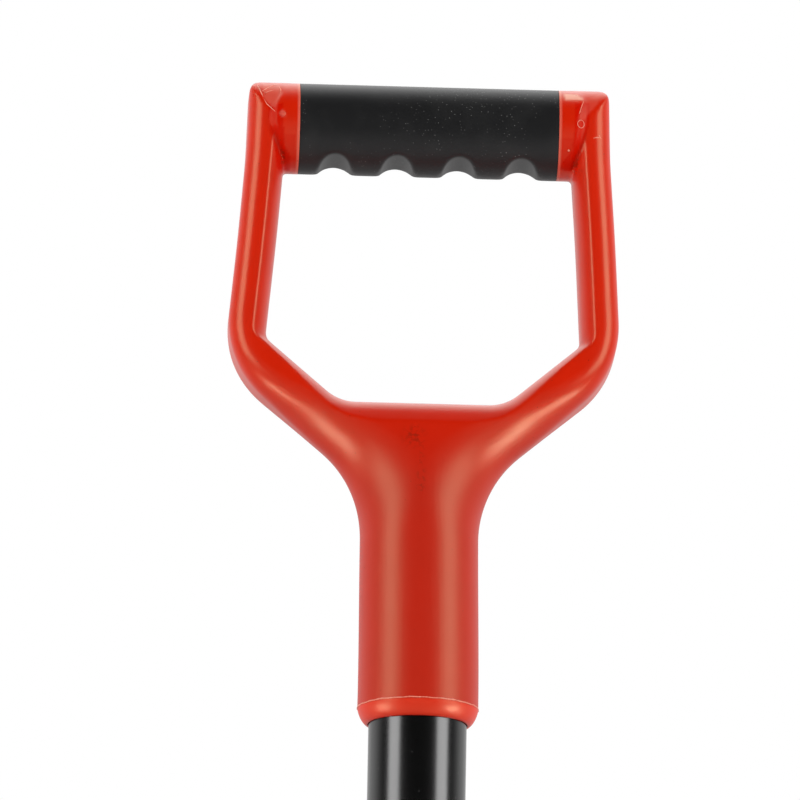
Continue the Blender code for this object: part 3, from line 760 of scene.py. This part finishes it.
def picture_path(places):
    """(point, normal) pairs, a pixel apart, along a line of picture places."""
    path = []
    for (x0, y0), (x1, y1) in zip(places, places[1:]):
        count = max(round(hypot(x1 - x0, y1 - y0)), 1)
        for i in range(count):
            found = sight(mix(x0, x1, i / count), mix(y0, y1, i / count))
            if found[0]:
                path.append(found)
    return path


def collar_path(start, end):
    """(point, normal) pairs, a degree apart, along the crease of the collar."""
    path = []
    for degree in range(start, end):
        turn = radians(degree)
        normal = Vector((sin(turn), -cos(turn), 0))
        ragged = 0.0001 * sin(7.3 * turn) * sin(17 * turn + 1)
        path.append((normal * COLLAR_RADIUS + Vector((0, 0, ragged - COLLAR_DROP)), normal))
    return path


strands = [
    strand(f"flash_{i}", picture_path(line), radius, i)
    for i, (radius, line) in enumerate(FLASH_LINES)
]
for start, end, radius in COLLAR_FLASH:
    strands.append(strand(f"collar_flash_{start}", collar_path(start, end), radius, start))
print("Strands of flash:", len(strands))

# %% [markdown]
# An ejector pin leaves a round mark where it pushed the hot moulding out of
# the tool: a low disc on the left corner, and a fine raised ring and a pip on
# the right.

# %% Ejector marks
def ring_mark(name, column, row, radius, thickness):
    """A fine raised ring round a place in the picture, laid on the skin."""
    centre, normal = sight(column, row)
    side = normal.orthogonal().normalized()
    other = normal.cross(side)
    rings = []
    for i in range(41):
        turn = 2 * pi * i / 40
        outwards = side * cos(turn) + other * sin(turn)
        spot = grip_tree.find_nearest(centre + outwards * radius)[0]
        rings.append(loop(spot, outwards, normal, thickness, 6))
    return skin(name, rings)


def disc_mark(name, column, row, radius, height, root=0.0006):
    """A low round pad on the skin."""
    centre, normal = sight(column, row)
    rim = [(0, -root), (radius, -root), (radius, height * 0.5)]
    pad = turned(name, rim + [(radius * 0.85, height), (0, height)], "Z", 32)
    turn = normal.to_track_quat("Z", "Y").to_matrix().to_4x4()
    pad.data.transform(Matrix.Translation(centre) @ turn)
    return pad


disc = disc_mark("ejector_disc", 282.5, 113.5, 0.0010, 0.00018)
strands.append(ring_mark("ejector_ring", 581, 124, 0.0013, 0.00010))
strands.append(disc_mark("ejector_pip", 568.7, 150.4, 0.00035, 0.00030))
print("Thin marks on the grip:", len(strands))

# %% [markdown]
# The strands and marks are the same plastic, so they join the grip's own mesh.
# All but the disc are thin, so light shines through the real ones and they
# look paler. That is why they get a paler material in a slot of their own.

# %% Join the marks to the grip
def attach(item, others, slot=0):
    """Add other pieces' meshes to the item's own, in one of its material slots."""
    shape = bmesh.new()
    shape.from_mesh(item.data)
    for other in others:
        for face in other.data.polygons:
            face.material_index = slot
        shape.from_mesh(other.data)
        bpy.data.objects.remove(other, do_unlink=True)
    shape.to_mesh(item.data)
    shape.free()


attach(grip, strands, slot=1)
attach(grip, [disc])
smooth_shade(grip, 50)
print("Grip faces with its marks:", len(grip.data.polygons))

# %% [markdown]
# ## The soft sleeve
#
# The sleeve is turned round the crossbar's axis. Four finger hollows are cut
# straight across its underside, each a round roof that eases out into the
# bar, and the remesher softens their edges as on the real rubber.

# %% Turn the sleeve and cut its hollows
SLEEVE_END, SLEEVE_GAP = sleeve_half + 0.002, 0.0003
SLEEVE_VOXEL, SLEEVE_PASSES = 0.0005, 28
HOLLOWS, HOLLOW_PITCH = 4, 0.0203
HOLLOW_RADIUS, HOLLOW_EASE, HOLLOW_DEPTH = 0.0054, 0.0026, 0.0045


def hollow_outline(arc=16, ease=8):
    """A hollow seen along its axis: a round roof, and a foot that eases out."""
    roof = HOLLOW_DEPTH - crossbar_radius
    reach_across = HOLLOW_RADIUS + HOLLOW_EASE
    bend_angle = acos(1 - HOLLOW_DEPTH / reach_across)
    side = reach_across * sin(bend_angle)
    points = []
    for i in range(arc + 1):
        angle = bend_angle * i / arc
        z = roof - HOLLOW_RADIUS * (1 - cos(angle))
        points.append((HOLLOW_RADIUS * sin(angle), z))
    for i in range(ease - 1, -1, -1):
        angle = bend_angle * i / ease
        z = -crossbar_radius + HOLLOW_EASE * (1 - cos(angle)) - 0.0001
        points.append((side - HOLLOW_EASE * sin(angle), z))
    points.append((side, -crossbar_radius - PAST))
    return [(-x, z) for x, z in reversed(points[1:])] + points


sleeve = turned("soft_sleeve", rod(crossbar_radius, -SLEEVE_END, SLEEVE_END), "X", 192)
for i in range(HOLLOWS):
    centre_x = (i - (HOLLOWS - 1) / 2) * HOLLOW_PITCH
    across = [[(x + centre_x, y, z) for x, z in hollow_outline()] for y in (-0.02, 0.02)]
    combine(sleeve, skin("hollow", across), "DIFFERENCE")
melt(sleeve, SLEEVE_VOXEL, SLEEVE_PASSES)
ends = turned("sleeve_ends", rod(0.02, -sleeve_half, sleeve_half), "X", 32)
combine(sleeve, ends, "INTERSECT")
core_bore = turned("core_bore", rod(CORE_RADIUS + SLEEVE_GAP, -0.05, 0.05), "X", 64)
combine(sleeve, core_bore, "DIFFERENCE")
sleeve.location = crossbar_centre
smooth_shade(sleeve, 50)
print("Sleeve faces:", len(sleeve.data.polygons))

# %% [markdown]
# ## The shaft
#
# The shaft is plain steel tube. We turn it again with many more sides than
# the measured one, so that its stripes of light run straight.

# %% Turn the tube
TUBE_WALL = 0.0015
tube_half = (tube_high.z - tube_low.z) / 2
hollow_half = tube_half + 0.01
tube = turned("tube", rod(tube_radius, -tube_half, tube_half), "Z", 128)
hollow = turned("hollow", rod(tube_radius - TUBE_WALL, -hollow_half, hollow_half), "Z", 96)
combine(tube, hollow, "DIFFERENCE")
tube.location = (0, shaft_y, tube_low.z + tube_half)
smooth_shade(tube, 40)
print("Tube length:", round(tube_high.z - tube_low.z, 3), "m")

# %% [markdown]
# ## The blade
#
# The blade starts as a flat T of sheet steel. A press pushes the frog into it,
# the raised rib that runs up the middle, and rolls the stem of the T into the
# socket. So each level row of the sheet starts at the centre line and bends
# step by step on its way outwards. These are the sizes of the measured model.

# %% Sizes of the pressed sheet
SHEET, FIT_GAP = 0.002, 0.0003
BLADE_LENGTH, BLADE_TOP_WIDTH, BLADE_EDGE_WIDTH = 0.290, 0.190, 0.178
BLADE_CORNER, SHOULDER_CORNER, SHOULDER_CORNER_HEIGHT = 0.014, 0.007, 0.0056
BLADE_SWEEP, DISH_RADIUS = 0.020, 0.650
FROG_LENGTH, FROG_ANGLE, FROG_FOOT_RADIUS = 0.200, radians(68), 0.012
NECK_LENGTH, NECK_HALF_WIDTH, NECK_FILLET = 0.075, 0.036, 0.010
SOCKET_SEAM = 0.003
GROUND_LENGTH, GROUND_SHARE = 0.007, 0.45
WRAP_RADIUS = tube_radius + FIT_GAP + SHEET / 2
FROG_REACH = WRAP_RADIUS + FROG_FOOT_RADIUS
FROG_HEIGHT = FROG_REACH * (1 - cos(FROG_ANGLE))
socket_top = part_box("blade")[1].z


def frog_angle(height):
    """How steeply the frog's flanks stand at a height on the blade."""
    rise = smooth_step((height - BLADE_LENGTH + FROG_LENGTH) / FROG_LENGTH)
    return acos(1 - FROG_HEIGHT * rise / FROG_REACH)


def rolled_share(height):
    """0 where the sheet is still blade, 1 where it has closed into the socket."""
    return smooth_step((height - BLADE_LENGTH) / NECK_LENGTH)


def bend(distance, height):
    """Direction of the sheet across the blade, at a distance from its centre line."""
    flank = frog_angle(height)
    if distance < WRAP_RADIUS * flank:
        pressed = distance / WRAP_RADIUS
    else:
        pressed = max(flank - (distance - WRAP_RADIUS * flank) / FROG_FOOT_RADIUS, 0.0)
    return mix(pressed - distance / DISH_RADIUS, distance / WRAP_RADIUS, rolled_share(height))


def crest_y(height):
    """Front-to-back place of the sheet's centre line."""
    if height >= BLADE_LENGTH:
        return shaft_y - WRAP_RADIUS
    swept = BLADE_SWEEP * (1 - (1 - height / BLADE_LENGTH) ** 2)
    return swept - FROG_REACH * (1 - cos(frog_angle(height)))


def blade_half_width(height):
    flank = frog_angle(height)
    half = mix(BLADE_EDGE_WIDTH, BLADE_TOP_WIDTH, height / BLADE_LENGTH) / 2
    half += FROG_REACH * (flank - sin(flank)) - drawn_in(BLADE_CORNER, BLADE_CORNER - height)
    return half - drawn_in(SHOULDER_CORNER, height - BLADE_LENGTH + SHOULDER_CORNER_HEIGHT)


def neck_half_width(height):
    closed = pi * WRAP_RADIUS - SOCKET_SEAM / 2
    half = mix(NECK_HALF_WIDTH, closed, rolled_share(height) ** 3)
    return half + drawn_in(NECK_FILLET, NECK_FILLET - height + BLADE_LENGTH)


def sheet_points(height, distances, step=0.0004):
    """Points of the bent sheet on one side of its centre line."""
    x, y, reached, points = 0.0, crest_y(height), 0.0, []
    for distance in distances:
        count = max(ceil((distance - reached) / step), 1)
        length = (distance - reached) / count
        for i in range(count):
            direction = bend(reached + (i + 0.5) * length, height)
            x += length * cos(direction)
            y += length * sin(direction)
        reached = distance
        points.append(Vector((x, y, height)))
    return points


print("Frog height in mm:", round(1000 * FROG_HEIGHT, 1))

# %% [markdown]
# The rows become a grid, and the Solidify modifier gives it the thickness of
# the sheet. A vertex group thins the sheet towards the cutting edge, as a
# grinder does, and a small bevel breaks every edge.

# %% Press the blade
NECK_COLUMNS, WING_COLUMNS = 40, 14
RIVET_RADIUS = 0.003


def blade_heights():
    """Heights of the sheet's rows, closer together in the corners."""
    eased = 1 - np.cos(np.linspace(0, pi / 2, 10))
    shoulder, neck_top = BLADE_LENGTH - SHOULDER_CORNER_HEIGHT, BLADE_LENGTH + NECK_LENGTH
    return np.concatenate([
        BLADE_CORNER * eased,
        np.linspace(BLADE_CORNER, shoulder, 91)[1:],
        np.linspace(shoulder, BLADE_LENGTH, 7)[1:],
        BLADE_LENGTH + NECK_FILLET * eased[1:],
        np.linspace(BLADE_LENGTH + NECK_FILLET, neck_top, 41)[1:],
        np.linspace(neck_top, socket_top, 18)[1:],
    ])


def pressed_sheet():
    """The sheet as a grid, one bent row for each height."""
    points, rows, faces = [], [], []
    foot = neck_half_width(BLADE_LENGTH)
    for height in blade_heights():
        inner = foot if height <= BLADE_LENGTH else neck_half_width(height)
        distances = [inner * i / NECK_COLUMNS for i in range(1, NECK_COLUMNS + 1)]
        if height <= BLADE_LENGTH:
            edge = blade_half_width(height)
            distances += [mix(foot, edge, i / WING_COLUMNS) for i in range(1, WING_COLUMNS + 1)]
        right = sheet_points(height, distances)
        left = [Vector((-point.x, point.y, point.z)) for point in reversed(right)]
        row = left + [Vector((0, crest_y(height), height))] + right
        rows.append(range(len(points), len(points) + len(row)))
        points += row
    for lower, upper in zip(rows, rows[1:]):
        spare = (len(lower) - len(upper)) // 2
        for i in range(len(upper) - 1):
            faces.append((lower[i + spare], lower[i + spare + 1], upper[i + 1], upper[i]))
    mesh = bpy.data.meshes.new("pressed_blade")
    mesh.from_pydata(points, [], faces)
    return place_object("pressed_blade", mesh)


def break_edges(item, width, segments=3):
    """Round every sharp edge a little."""
    bevel = item.modifiers.new("Broken edges", "BEVEL")
    bevel.width = width
    bevel.segments = segments
    bevel.limit_method = "ANGLE"
    bevel.angle_limit = radians(50)
    bake(item)


blade = pressed_sheet()
thickness = blade.vertex_groups.new(name="thickness")
for vertex in blade.data.vertices:
    share = smooth_step(vertex.co.z / GROUND_LENGTH)
    thickness.add([vertex.index], mix(GROUND_SHARE, 1.0, share), "REPLACE")
wall = blade.modifiers.new("Sheet", "SOLIDIFY")
wall.thickness = SHEET
wall.offset = 0.0
wall.use_even_offset = True
wall.vertex_group = thickness.name
bake(blade)
for vertex in blade.data.vertices:
    vertex.co.z = min(max(vertex.co.z, 0.0), socket_top)
break_edges(blade, 0.0004)
rivet_places = [sum(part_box(name), Vector()) / 2 for name in ("rivet_upper", "rivet_lower")]
for place in rivet_places:
    hole = turned("rivet_hole", rod(RIVET_RADIUS + FIT_GAP, -0.03, 0.03), "X", 48)
    hole.data.transform(Matrix.Translation(place))
    combine(blade, hole, "DIFFERENCE")
smooth_shade(blade, 40)
print("Blade faces:", len(blade.data.polygons))

# %% [markdown]
# A tread is a short flat bar on each shoulder, so that the edge of the sheet
# doesn't cut into a boot. It is welded on with one long bead behind the sheet
# and two short ones in front. A bead is a tube with even ripples, laid into
# the corner between the sheet and the bar.

# %% Weld the treads on
TREAD_THICKNESS, TREAD_DEPTH, TREAD_END_RADIUS = 0.004, 0.017, 0.005
TREAD_EDGE, TREAD_FORWARD, TREAD_INSET = 0.0008, 0.0045, 0.001
BEAD_RADIUS, BEAD_RIPPLE, BEAD_STEP = 0.0015, 0.0019, 0.0003
LONG_BEAD_INSET, SHORT_BEAD_INSET, SHORT_BEAD = 0.007, 0.005, 0.009


def tread_bar(name, length):
    """A flat bar with round ends and eased edges."""
    rings = []
    for end, angles in ((-1, quarter(6)), (1, reversed(quarter(6)))):
        for angle in angles:
            inset = TREAD_EDGE * (1 - sin(angle))
            z = end * (TREAD_THICKNESS / 2 - TREAD_EDGE * (1 - cos(angle)))
            corner = TREAD_END_RADIUS - inset
            ring = rounded_ring(length / 2 - inset, TREAD_DEPTH / 2 - inset, corner, corner)
            rings.append([(x, y, z) for x, y in ring])
    return skin(name, rings)


def weld_bead(start, end, seed):
    """A rippled bead from start to end, a little uneven like one laid by hand."""
    wander = random.Random(seed)
    along = end - start
    count = round(along.length / BEAD_STEP)
    rings = []
    for i in range(count + 1):
        s = i / count
        ripple = abs(sin(pi * s * along.length / BEAD_RIPPLE))
        taper = min(1.0, 0.35 + 6 * min(s, 1 - s))
        radius = BEAD_RADIUS * taper * (0.84 + 0.16 * ripple + wander.uniform(-0.02, 0.02))
        rings.append(loop(start + along * s, Vector((0, 1, 0)), Vector((0, 0, 1)), radius, 14))
    return skin("weld_bead", rings)


def make_tread(name, side):
    """A tread on the left (-1) or right (1) shoulder, with its beads."""
    ends = [neck_half_width(BLADE_LENGTH), blade_half_width(BLADE_LENGTH)]
    inner, outer = sheet_points(BLADE_LENGTH, ends)
    inner.x *= side
    outer.x *= side
    along = (outer - inner).normalized()
    length = (outer - inner).length - TREAD_INSET
    middle = (inner + outer) / 2 + along * TREAD_INSET / 2
    bar = tread_bar(name, length)
    turn = Matrix.Rotation(atan2(along.y * side, along.x * side), 4, "Z")
    height = BLADE_LENGTH + FIT_GAP + TREAD_THICKNESS / 2
    bar.data.transform(Matrix.Translation((middle.x, middle.y - TREAD_FORWARD, height)) @ turn)
    behind = Vector((0, SHEET / 2 + 0.0003, FIT_GAP / 2))
    before = Vector((0, -SHEET / 2 - 0.0002, FIT_GAP / 2))
    inset = along * LONG_BEAD_INSET
    beads = [weld_bead(inner + inset + behind, outer - inset + behind, side)]
    last = outer - along * (SHORT_BEAD_INSET + SHORT_BEAD)
    for place in (inner + along * SHORT_BEAD_INSET, last):
        beads.append(weld_bead(place + before, place + along * SHORT_BEAD + before, 7 * side))
    attach(bar, beads)
    smooth_shade(bar, 50)
    return bar


treads = [make_tread("foot_tread_left", -1), make_tread("foot_tread_right", 1)]
print("Tread faces:", [len(tread.data.polygons) for tread in treads])

# %% [markdown]
# ## Rivets and screw
#
# Two solid rivets go through socket and tube from side to side. Their heads
# are low domes with a skirt that meets the round socket. One pan-head screw
# with a cross recess holds the grip from behind, in its own flat seat.

# %% Turn the rivets and the screw
RIVET_HEAD_RADIUS, RIVET_HEAD_HEIGHT, RIVET_SKIRT = 0.006, 0.0028, 0.0010
RIVET_SEAT = WRAP_RADIUS + SHEET / 2 + FIT_GAP
SCREW_SHANK_RADIUS, SCREW_HEAD_HEIGHT, SCREW_HEAD_EDGE = 0.0024, 0.0022, 0.0002
SCREW_DOME, SCREW_FLAT = 0.0013, 0.62
CROSS_HALF_LENGTH, CROSS_HALF_WIDTH, CROSS_DEPTH = 0.0021, 0.00045, 0.0013
CROSS_TURN = radians(18)


def make_rivet(name, place):
    """A rivet with the same domed head at both ends."""
    foot = RIVET_SEAT - RIVET_SKIRT
    half = [(RIVET_RADIUS, foot), (RIVET_HEAD_RADIUS - 0.0004, foot)] + [
        (RIVET_HEAD_RADIUS * cos(a), RIVET_SEAT + RIVET_HEAD_HEIGHT * sin(a))
        for a in quarter(12)
    ]
    rivet = turned(name, [(r, -x) for r, x in reversed(half)] + half, "X", 64)
    rivet.data.transform(Matrix.Translation(place))
    return rivet


def make_screw():
    """A pan-head screw. Two crossed cutters that taper inwards make its recess."""
    top, radius, shank = screw_high.y, screw_head, SCREW_SHANK_RADIUS
    seat = top - SCREW_HEAD_HEIGHT
    profile = [(0, screw_low.y), (shank, screw_low.y + shank), (shank, seat)]
    profile += [(radius - SCREW_HEAD_EDGE, seat), (radius, seat + SCREW_HEAD_EDGE)]
    for angle in quarter(10):
        across = radius * mix(SCREW_FLAT, 1.0, cos(angle))
        profile.append((across, top - SCREW_DOME * (1 - sin(angle))))
    screw = turned("pan_head_screw", profile + [(0, top)], "Y", 64)
    arm = (CROSS_HALF_LENGTH, CROSS_HALF_WIDTH)
    for long_x, long_z in (arm, arm[::-1]):
        rings = []
        for y, share in ((top + 0.001, 1.2), (top - CROSS_DEPTH, 0.55)):
            x, z = long_x * share, long_z * share
            rings.append([(x, y, z), (-x, y, z), (-x, y, -z), (x, y, -z)])
        combine(screw, skin("cross", rings), "DIFFERENCE")
    screw.data.transform(Matrix.Rotation(CROSS_TURN, 4, "Y"))
    break_edges(screw, 0.00008, 1)
    screw.data.transform(Matrix.Translation((0, 0, screw_z)))
    return screw


rivets = [make_rivet(f"domed_rivet_{i + 1}", place) for i, place in enumerate(rivet_places)]
screw = make_screw()
for item in rivets + [screw]:
    smooth_shade(item, 35)
print("Rivet faces:", len(rivets[0].data.polygons), "screw faces:", len(screw.data.polygons))

# %% [markdown]
# ## Finishes
#
# Each finish is one shader with a few noise textures. Four more helpers name
# what they are for: the height on the piece, soft clouds, small scattered
# specks, and an uneven skin.

# %% Height, clouds, specks and skin
def height_of(place):
    return add(place.id_data, "ShaderNodeSeparateXYZ", place, output="Z")


def noise(place, scale, detail):
    """Soft noise from 0 to 1, laid out in the piece's own coordinates."""
    kind = "ShaderNodeTexNoise"
    return add(place.id_data, kind, place, output="Fac", Scale=scale, Detail=detail)


def spots(place, scale, size):
    """Small scattered round spots: 1 on a spot, 0 elsewhere."""
    kind = "ShaderNodeTexVoronoi"
    cells = add(place.id_data, kind, place, output="Distance", Scale=scale)
    return mapped(cells, size * 1.5, size)


def skin_bump(place, scale, strength):
    """The normals of a slightly uneven skin."""
    uneven = noise(place, scale, 3.0)
    kind = "ShaderNodeBump"
    return add(place.id_data, kind, Height=uneven, Strength=strength, Distance=0.0002)


print("Finish helpers ready")

# %% [markdown]
# Some light and shade belong to one place, so we paint them there. For those
# we write three numbers from 0 to 1 on each point of the grip's mesh, and the
# shader reads them. `pale` marks painted highlights and reflections: the thin
# rim beside the sleeve, the corners of the top, and round the ejector disc. The
# second number is painted shade round the stubs, in the creases where the arms
# keep the light off, and the skin there is less glossy as well. The third is a
# painted dark reflection along the middle of the yoke, and painted shade in the
# creases. Outlines and centres are in pixels of the picture again.

# %% Mark the painted highlights and the painted shade on the grip
# Painted highlights and reflections, each with its strength and outline.
PAINTED_HIGHLIGHT_PATCHES = (
    (0.85, ((564, 94), (577, 94.6), (583, 98.5), (583, 100.4), (565, 100))),
    (0.17, ((263, 84), (279, 84), (282, 93), (278, 101), (276, 107), (271, 106), (264, 98))),
    (0.09, ((583, 101), (600, 94), (598, 104), (590, 112), (584, 120), (577, 122))),
    (0.22, ((279, 113), (282, 109), (286, 112), (286, 116), (282, 117))),
)
# Painted shade in the creases round the stubs, where the arms keep the light off.
CREASE_SHADE_PATCHES = (
    (1.0, ((268, 103), (283, 103), (284, 128), (285, 145), (291, 156), (290, 171),
           (277, 171), (275, 148), (270, 132))),
    (1.0, ((575, 103), (590, 103), (589, 124), (582, 150), (577, 171), (563, 171),
           (562, 162), (572, 150), (575, 130))),
    (0.5, ((283, 134), (296, 134), (296, 168), (283, 168))),
    (0.5, ((560, 138), (575, 138), (575, 170), (560, 170))),
)
# Painted shade: a dark reflection down the middle of the yoke, and the creases under the stubs.
PAINTED_SHADE_PATCHES = (
    ((414, 436), (17, 17)), ((421, 492), (7, 78)), ((283, 156), (6, 17)), ((577, 168), (7, 14)),
)
# The stub's rounded end beside the sleeve gets a painted highlight of this strength.
RIM_WIDTH, RIM_HIGHLIGHT = 0.0009, 0.26
MARKED_BACK, MARKED_BOTTOM = 0.002, -0.125
EDGE_STEPS = ((0, 0), (0.9, 0), (-0.9, 0), (0, 0.9), (0, -0.9))


def picture_place(point):
    """Column and row of a point of the grip in the picture."""
    local = camera.matrix_world.inverted() @ (point + crossbar_centre)
    scale = CAMERA_DISTANCE / PIXEL_SIZE / -local.z
    return PIXELS / 2 + scale * local.x, PIXELS / 2 - scale * local.y


def inside(column, row, outline):
    """True where a place is inside a closed outline of picture places."""
    odd = False
    for (x0, y0), (x1, y1) in zip(outline, outline[1:] + outline[:1]):
        if (y0 > row) != (y1 > row) and column < x0 + (x1 - x0) * (row - y0) / (y1 - y0):
            odd = not odd
    return odd


def covered(column, row, patches):
    """How strongly the patches cover a place, with edges a pixel wide."""
    value = 0.0
    for strength, outline in patches:
        hits = sum(inside(column + dx, row + dy, outline) for dx, dy in EDGE_STEPS)
        value = max(value, strength * hits / len(EDGE_STEPS))
    return value


pale, shade_and_matt, painted_shade = (
    grip.data.attributes.new(name, "FLOAT", "POINT").data for name in ("pale", "shade_and_matt", "painted_shade")
)
for vertex in grip.data.vertices:
    point, i = vertex.co, vertex.index
    if point.y > MARKED_BACK or point.z < MARKED_BOTTOM:
        continue
    column, row = picture_place(point)
    if point.z > -crossbar_radius - 0.001:
        # Painted highlights, among them the stub's end beside the sleeve, and painted shade round
        # the stubs.
        rim = RIM_HIGHLIGHT if abs(point.x) < sleeve_half + RIM_WIDTH else 0.0
        pale[i].value = max(covered(column, row, PAINTED_HIGHLIGHT_PATCHES), rim)
        shade_and_matt[i].value = covered(column, row, CREASE_SHADE_PATCHES)
    # Painted shade and painted dark reflection.
    painted_shade[i].value = max(
        smooth_step(1 - hypot((column - x) / half_width, (row - y) / half_height))
        for (x, y), (half_width, half_height) in PAINTED_SHADE_PATCHES
    )
print("Marked", len(grip.data.vertices), "points")

# %% [markdown]
# The grip's plastic is satin and a strong orange-red. The real one lets a
# little light through, so the socket looks darker, where the black tube stands
# inside it. A darker layer over the tube stands in for that. The collar's face
# below its crease gets painted light, for the light that the floor throws up
# onto it. Fine noise breaks up the colour and the stripes of light. The layers
# lie over each other from the first to the last.

# %% Orange-red moulded plastic
SOLID_COLOUR = (0.62, 0.0115, 0.0, 1)
OVER_TUBE_COLOUR = (0.50, 0.0065, 0.0, 1)
# Painted light: the collar's face below its crease, lit from the floor below.
COLLAR_BOUNCE_LIGHT_COLOUR = (0.70, 0.013, 0.0, 1)
# The darker red of the painted shade in the creases round the stubs.
CREASE_SHADE_COLOUR = (0.56, 0.0055, 0.0, 1)
# The flash's own paler colour, also used for the painted highlights and reflections.
FLASH_AND_HIGHLIGHT_COLOUR = (0.84, 0.36, 0.26, 1)
FLASH_COLOUR = (0.78, 0.17, 0.10, 1)
# Dark red of the specks and the uneven tone, also used for the painted shade.
SPECK_AND_SHADE_COLOUR = (0.30, 0.008, 0.001, 1)
SPECULAR_TINT = (0.9, 0.96, 0.58, 1)
OVER_TUBE, COLLAR_EDGE = (-0.085, -0.125), (-COLLAR_DROP + 0.0002, -COLLAR_DROP - 0.0006)


def marked(material, name):
    """The number that the grip's points carry under a name."""
    node = material.node_tree.nodes.new("ShaderNodeAttribute")
    node.attribute_name = name
    return node.outputs["Fac"]


def orange_plastic():
    material, shader, place = recipe("orange_plastic_finish")
    height = height_of(place)
    over_tube = mapped(height, *OVER_TUBE)
    shade_and_matt_share = marked(material, "shade_and_matt")
    shade_streaks = mapped(noise(place, 800.0, 6.0), 0.48, 0.62, 0.0, 0.9)
    layers = (
        (over_tube, OVER_TUBE_COLOUR),
        (mapped(noise(place, 70.0, 4.0), 0.3, 0.7, 0.0, 0.10), SPECK_AND_SHADE_COLOUR),
        # Painted light from below on the collar's face.
        (mapped(height, *COLLAR_EDGE), COLLAR_BOUNCE_LIGHT_COLOUR),
        # Painted shade in the creases. The same share lowers the gloss there below.
        (shade_and_matt_share, CREASE_SHADE_COLOUR),
        # Painted highlights and reflections.
        (marked(material, "pale"), FLASH_AND_HIGHLIGHT_COLOUR),
        # Painted shade and the painted dark reflection down the yoke, broken into streaks.
        (compute("MULTIPLY", marked(material, "painted_shade"), shade_streaks), SPECK_AND_SHADE_COLOUR),
        (spots(place, 260.0, 0.038), SPECK_AND_SHADE_COLOUR),
    )
    base = SOLID_COLOUR
    for share, colour in layers:
        base = blend(share, base, colour)
    rough = mapped(noise(place, 160.0, 3.0), 0.0, 1.0, 0.28, 0.34)
    feed(
        shader,
        Base_Color=base,
        Roughness=compute("MULTIPLY_ADD", over_tube, 0.09, rough),
        Specular_IOR_Level=mapped(shade_and_matt_share, 0.0, 1.0, 0.5, 0.10),
        Specular_Tint=SPECULAR_TINT,
        Normal=skin_bump(place, 900.0, 0.06),
    )
    return material


def flash_plastic():
    material, shader, place = recipe("orange_flash_finish")
    base = blend(noise(place, 900.0, 2.0), FLASH_AND_HIGHLIGHT_COLOUR, FLASH_COLOUR)
    feed(shader, Base_Color=base, Roughness=0.4)
    return material


plastic = orange_plastic()
for finish in (plastic, flash_plastic()):
    grip.data.materials.append(finish)
print("Plastic nodes:", len(plastic.node_tree.nodes), "material slots:", len(grip.data.materials))

# %% [markdown]
# The sleeve is soft black rubber. Its skin is dull, and it holds fine pale
# dust: cloudy smears, and single specks that one spot pattern makes.

# %% Black rubber
RUBBER_COLOUR = (0.005, 0.005, 0.0055, 1)
DUST_COLOUR = (0.15, 0.15, 0.145, 1)


def black_rubber():
    material, shader, place = recipe("black_rubber_finish")
    smears = mapped(noise(place, 90.0, 6.0), 0.45, 0.75, 0.0, 0.55)
    patchy = mapped(noise(place, 45.0, 3.0), 0.45, 0.60)
    dust = compute("MULTIPLY", spots(place, 900.0, 0.10), patchy)
    base = blend(smears, RUBBER_COLOUR, grey(0.016))
    base = blend(dust, base, DUST_COLOUR)
    bump = skin_bump(place, 700.0, 0.10)
    feed(shader, Base_Color=base, Roughness=0.46, Specular_IOR_Level=0.40, Normal=bump)
    return material


rubber = black_rubber()
sleeve.data.materials.append(rubber)
print("Rubber nodes:", len(rubber.node_tree.nodes))

# %% [markdown]
# The tube, the blade and the treads are powder coated: black and glossy, with
# the faint orange-peel skin that coating has. On the blade the coat is rubbed
# through to grey steel along the cutting edge.

# %% Black powder coat
BARE_STEEL = (0.40, 0.39, 0.38, 1)


def black_coat(name, worn_below=None):
    """Powder coat. With worn_below, it is rubbed off up to about that height."""
    material, shader, place = recipe(name)
    base = blend(noise(place, 55.0, 5.0), grey(0.0012), grey(0.0030))
    base = blend(spots(place, 380.0, 0.050), base, grey(0.06))
    if worn_below is not None:
        height = height_of(place)
        ragged = compute("MULTIPLY_ADD", noise(place, 420.0, 8.0), -worn_below, height)
        worn = mapped(ragged, 0.0012, -0.0006)
        base = blend(worn, base, BARE_STEEL)
        feed(shader, Metallic=worn)
    rough = mapped(noise(place, 40.0, 5.0), 0.0, 1.0, 0.18, 0.26)
    feed(shader, Base_Color=base, Roughness=rough, IOR=1.74, Normal=skin_bump(place, 420.0, 0.03))
    return material


coat = black_coat("black_coat_finish")
for item in [tube, *treads]:
    item.data.materials.append(coat)
blade.data.materials.append(black_coat("black_blade_finish", worn_below=0.005))
print("Coat nodes:", len(coat.node_tree.nodes))

# %% [markdown]
# Rivets and screw are bright zinc-plated steel, a little cloudy and brushed.

# %% Zinc-plated steel
ZINC_DARK, ZINC_BRIGHT = (0.42, 0.42, 0.43, 1), (0.62, 0.62, 0.60, 1)


def zinc_steel():
    material, shader, place = recipe("zinc_steel_finish")
    base = blend(noise(place, 600.0, 5.0), ZINC_DARK, ZINC_BRIGHT)
    rough = mapped(noise(place, 900.0, 3.0), 0.0, 1.0, 0.24, 0.46)
    bump = skin_bump(place, 1500.0, 0.08)
    feed(shader, Base_Color=base, Metallic=1.0, Roughness=rough, Normal=bump)
    return material


zinc = zinc_steel()
for item in rivets + [screw]:
    item.data.materials.append(zinc)
print("Zinc nodes:", len(zinc.node_tree.nodes))

# %% [markdown]
# ## Joining the pieces to the frame

# %% Say what each piece rides on and stands for
pieces = (
    (grip, "grip_frame", "orange_plastic"),
    (sleeve, "grip_sleeve", "black_rubber"),
    (tube, "shaft_tube", "black_paint"),
    (blade, "blade", "black_paint"),
    (treads[0], "tread_left", "black_paint"),
    (treads[1], "tread_right", "black_paint"),
    (rivets[0], "rivet_upper", "zinc_steel"),
    (rivets[1], "rivet_lower", "zinc_steel"),
    (screw, "grip_screw", "zinc_steel"),
)
for piece, node, slot in pieces:
    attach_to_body(piece, "root")
    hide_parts(node)
print("Pieces:", [piece.name for piece, _, _ in pieces])
